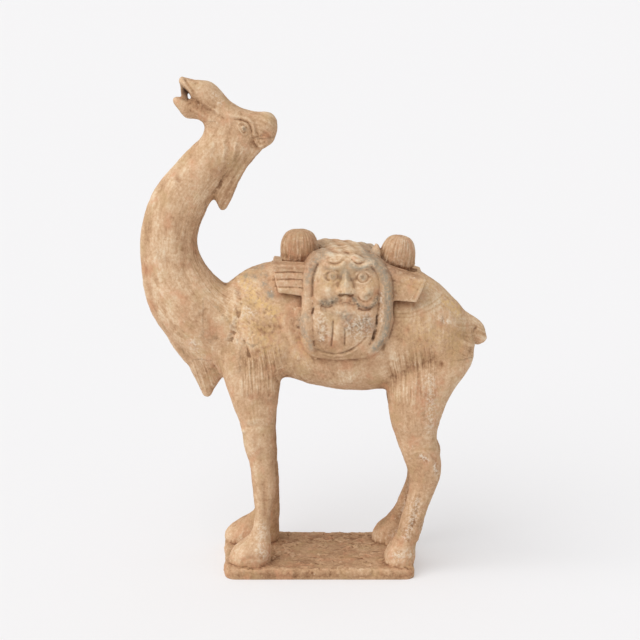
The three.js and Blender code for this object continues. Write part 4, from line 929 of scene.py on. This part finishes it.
points, edges, normals = pointsOf(whole), edgesOf(whole), normalsOf(whole)
for name, entries in tints.items():
    putAttribute(whole, name, tintOf(points, entries))
across, along, amount = hairOf(points, normals)
putAttribute(whole, "hairAcross", across)
putAttribute(whole, "hairAlong", along)
putAttribute(whole, "hair", amount)
ones = np.ones(len(points))
fine = np.sum((relax(points, edges, ones * 0.7, 3) - points) * normals, 1)
broad = np.sum((relax(points, edges, ones * 0.7, 24) - points) * normals, 1)
# painted shade: how concave each place is, so that creases and hollows are darkened in the colour
putAttribute(whole, "hollow", np.clip(fine / 0.35, 0, 1) * 0.5 + np.clip(broad / 1.1, 0, 1) * 0.6)
putAttribute(whole, "worn", np.clip(-fine / 0.35, 0, 1) * 0.6 + np.clip(-broad / 1.3, 0, 1) * 0.5)
putAttribute(whole, "slab", fade(10.8, 14, points[:, 2]) * (np.abs(points[:, 0]) < 112))
# painted shade inside the mouth: a dark patch between the jaws, near the middle plane
mouth = bell(np.hypot((points[:, 0] + 129.5) / 0.8, points[:, 2] - 481), 7) * fade(6, 8.5, np.abs(points[:, 1]))
farLegShade = rise(8, 20, points[:, 1]) * fade(170, 215, points[:, 2]) * rise(12, 30, points[:, 2])  # painted shade: the legs behind are darker, as in the shadow of the body and the near legs
putAttribute(whole, "deep", mouth)
putAttribute(whole, "dull", farLegShade)
setPoints(whole, points * metre)
camel = bpy.data.objects.new("camelFigure", whole)
scene.collection.objects.link(camel)
whole.shade_smooth()

# ---- the fired clay: slip over pink clay, pigment, soil and wear, with painted shade and painted light


def linear(r, g, b):
    # a colour given from 0 to 255 as it looks, as the light it gives back
    c = np.array([r, g, b]) / 255
    return (*np.where(c <= 0.04045, c / 12.92, ((c + 0.055) / 1.055) ** 2.4), 1)


clayColours = {
    "tone": [(0.0, linear(118, 84, 58)), (0.26, linear(158, 120, 89)), (0.46, linear(184, 147, 113)),
             (0.62, linear(200, 164, 130)), (0.8, linear(215, 185, 152)), (1.0, linear(228, 208, 180))],
    "pink": linear(204, 146, 112), "olive": linear(184, 155, 112), "umber": linear(150, 108, 79),
    "yellow": linear(220, 184, 128), "greyBlue": linear(146, 140, 126), "blackPaintAndShadeColour": linear(98, 84, 70),
    "white": linear(229, 217, 199), "shadow": linear(98, 64, 43), "mouthShadeColour": linear(62, 42, 30),
}


def graph(material):
    # short ways to add nodes to a material: each returns the output that the next one takes
    tree = material.node_tree
    place = tree.nodes.new("ShaderNodeTexCoord").outputs["Object"]

    def put(socket, value):
        if isinstance(value, bpy.types.NodeSocket):
            tree.links.new(value, socket)
        else:
            socket.default_value = value

    def noise(size, detail=3, roughness=0.55, stretch=(1, 1, 1), offset=(0, 0, 0), distortion=0.0):
        # noise whose features are about `size` mm, drawn out by `stretch`
        mapping = tree.nodes.new("ShaderNodeMapping")
        put(mapping.inputs["Vector"], place)
        mapping.inputs["Scale"].default_value = [1 / s for s in stretch]
        mapping.inputs["Location"].default_value = offset
        node = tree.nodes.new("ShaderNodeTexNoise")
        put(node.inputs["Vector"], mapping.outputs["Vector"])
        node.inputs["Scale"].default_value = 1 / (size * metre)
        node.inputs["Detail"].default_value = detail
        node.inputs["Roughness"].default_value = roughness
        node.inputs["Distortion"].default_value = distortion
        return node.outputs["Fac"]

    def ramp(value, low, high, top=1.0):
        # 0 below low and `top` above high
        node = tree.nodes.new("ShaderNodeMapRange")
        node.interpolation_type = "SMOOTHSTEP"
        put(node.inputs["Value"], value)
        node.inputs["From Min"].default_value = low
        node.inputs["From Max"].default_value = high
        node.inputs["To Max"].default_value = top
        return node.outputs["Result"]

    def math(kind, a, b):
        node = tree.nodes.new("ShaderNodeMath")
        node.operation = kind
        put(node.inputs[0], a)
        put(node.inputs[1], b)
        return node.outputs["Value"]

    def over(under, upper, amount):
        # one colour laid over another
        node = tree.nodes.new("ShaderNodeMix")
        node.data_type = "RGBA"
        put(node.inputs[6], under)
        put(node.inputs[7], upper)
        put(node.inputs[0], amount)
        return node.outputs[2]

    def read(name):
        node = tree.nodes.new("ShaderNodeAttribute")
        node.attribute_name = name
        return node.outputs["Fac"]

    def strandNoise(pitch, length):
        # noise drawn out along the combed hair, from the attributes that say how far across and along it a point is
        course = tree.nodes.new("ShaderNodeCombineXYZ")
        put(course.inputs["X"], math("MULTIPLY", read("hairAcross"), 1 / pitch))
        put(course.inputs["Y"], math("MULTIPLY", read("hairAlong"), 1 / length))
        node = tree.nodes.new("ShaderNodeTexNoise")
        put(node.inputs["Vector"], course.outputs["Vector"])
        node.inputs["Scale"].default_value = 1
        node.inputs["Detail"].default_value = 2
        node.inputs["Distortion"].default_value = 0.15
        return node.outputs["Fac"]

    def toned(value, stops):
        # the colour at that lightness
        node = tree.nodes.new("ShaderNodeValToRGB")
        line = node.color_ramp.elements
        while len(line) < len(stops):
            line.new(0.5)
        for stop, (place, shade) in zip(line, stops):
            stop.position = place
            stop.color = shade
        put(node.inputs["Fac"], value)
        return node.outputs["Color"]

    return noise, strandNoise, ramp, math, over, read, toned


clay = bpy.data.materials.new("firedClay")
clay.use_nodes = True
shader = clay.node_tree.nodes["Principled BSDF"]
noise, strandNoise, ramp, math, over, read, toned = graph(clay)

def centred(value, gain):
    # noise about 0, times a gain
    return math("MULTIPLY", math("SUBTRACT", value, 0.5), gain)


# how light the clay is: fine and broad mottling, painted shade in the hollows, soil stains, wear on the heights, and
# combed strands
hairNoise = strandNoise(1.9, 30)
tone = math("ADD", 0.575, centred(noise(2.4, 6, 0.72), 0.95))
tone = math("ADD", tone, centred(noise(9, 4, 0.6, (1, 1, 1.4), (3, 1, 2)), 0.5))
tone = math("ADD", tone, centred(noise(46, 3, 0.5, (1, 1, 1), (9, 4, 2)), 0.6))
tone = math("ADD", tone, math("MULTIPLY", read("hair"), centred(hairNoise, 1.0)))
tone = math("ADD", tone, math("MULTIPLY", read("worn"), 0.2))
# painted shade in creases and hollows
tone = math("SUBTRACT", tone, math("MULTIPLY", read("hollow"), 0.24))
tone = math("SUBTRACT", tone, ramp(noise(6, 4, 0.66, (1, 1, 1.4), (11, 3, 5)), 0.56, 0.72, 0.16))  # soil stains
tone = math("SUBTRACT", tone, math("MULTIPLY", read("slab"), 0.13))
# painted shade on the legs behind
tone = math("SUBTRACT", tone, math("MULTIPLY", read("dull"), 0.16))
# cleaner slip, and painted light on the lit places
tone = math("ADD", tone, math("MULTIPLY", read("pale"), ramp(noise(7, 4, 0.6, (1, 1, 1.6), (2, 2, 6)), 0.3, 0.6, 0.3)))
# painted shade
tone = math("SUBTRACT", tone, math("MULTIPLY", read("dusk"), 0.2))
colour = toned(tone, clayColours["tone"])
colour = over(colour, clayColours["pink"], ramp(noise(15, 5, 0.62, (1, 1, 1.3), (7, 5, 1)), 0.5, 0.7, 0.45))
colour = over(colour, clayColours["olive"], ramp(noise(22, 4, 0.6, (1, 1, 1), (5, 2, 8)), 0.5, 0.7, 0.4))
colour = over(colour, clayColours["pink"], math("MULTIPLY", read("pinkClay"), ramp(noise(4, 5, 0.65), 0.4, 0.62, 0.8)))
# browner clay on the humps, and painted shade in sheltered places
colour = over(colour, clayColours["umber"], math("MULTIPLY", read("umber"), ramp(noise(5, 5, 0.65), 0.3, 0.62, 0.85)))
colour = over(colour, clayColours["yellow"], math("MULTIPLY", read("yellowSlip"), ramp(noise(3.6, 5, 0.65), 0.42, 0.58, 0.8)))
colour = over(colour, clayColours["greyBlue"], math("MULTIPLY", read("greyPaint"), ramp(noise(2.8, 5, 0.66), 0.33, 0.58, 0.95)))
# black paint, and painted shade in the narrow grooves
colour = over(colour, clayColours["blackPaintAndShadeColour"], math("MULTIPLY", read("darkPaint"), ramp(noise(2.4, 5, 0.66, (1, 1, 1), (3, 8, 1)), 0.22, 0.66, 0.95)))
colour = over(colour, clayColours["white"], math("MULTIPLY", read("whiteGround"), ramp(noise(2.4, 4, 0.6), 0.44, 0.6)))
colour = over(colour, clayColours["white"], ramp(noise(2.6, 3, 0.55, (1, 1, 1.2), (4, 4, 9)), 0.68, 0.76, 0.5))  # specks
colour = over(colour, clayColours["shadow"], ramp(noise(2.2, 3, 0.6, (1, 1, 1.5), (6, 1, 3)), 0.69, 0.78, 0.5))  # pinholes
colour = over(colour, clayColours["shadow"], ramp(read("hollow"), 0.35, 1.1, 0.5))
# painted shade inside the mouth
colour = over(colour, clayColours["mouthShadeColour"], read("deep"))
clay.node_tree.links.new(colour, shader.inputs["Base Color"])
roughness = math("ADD", 0.82, ramp(noise(5, 3), 0.3, 0.7, 0.16))
clay.node_tree.links.new(roughness, shader.inputs["Roughness"])
shader.inputs["Specular IOR Level"].default_value = 0.2
bump = clay.node_tree.nodes.new("ShaderNodeBump")
bump.inputs["Distance"].default_value = 0.0012
bump.inputs["Strength"].default_value = 1.0
height = math("ADD", math("MULTIPLY", noise(2.0, 6, 0.72), 0.6), math("MULTIPLY", noise(0.6, 2, 0.6), 0.12))
height = math("ADD", height, math("MULTIPLY", read("hair"), math("MULTIPLY", hairNoise, 1.1)))
clay.node_tree.links.new(height, bump.inputs["Height"])
clay.node_tree.links.new(bump.outputs["Normal"], shader.inputs["Normal"])
whole.materials.clear()
whole.materials.append(clay)
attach(camel, "root")
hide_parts("camel_figure")

floorMesh = bpy.data.meshes.new("floor")
r = studio["floorRadius"]
floorMesh.from_pydata([(-r, -r, 0), (r, -r, 0), (r, r, 0), (-r, r, 0)], [], [(0, 1, 2, 3)])
floor = bpy.data.objects.new("floor", floorMesh)
scene.collection.objects.link(floor)
paper = bpy.data.materials.new("palePaper")
paper.use_nodes = True
paper.node_tree.nodes["Principled BSDF"].inputs["Base Color"].default_value = (*studio["floorColour"], 1)
paper.node_tree.nodes["Principled BSDF"].inputs["Emission Color"].default_value = (1, 0.995, 1, 1)
paper.node_tree.nodes["Principled BSDF"].inputs["Emission Strength"].default_value = studio["floorGlow"]
paper.node_tree.nodes["Principled BSDF"].inputs["Roughness"].default_value = 0.95
paper.node_tree.nodes["Principled BSDF"].inputs["Specular IOR Level"].default_value = 0.1
floorMesh.materials.append(paper)
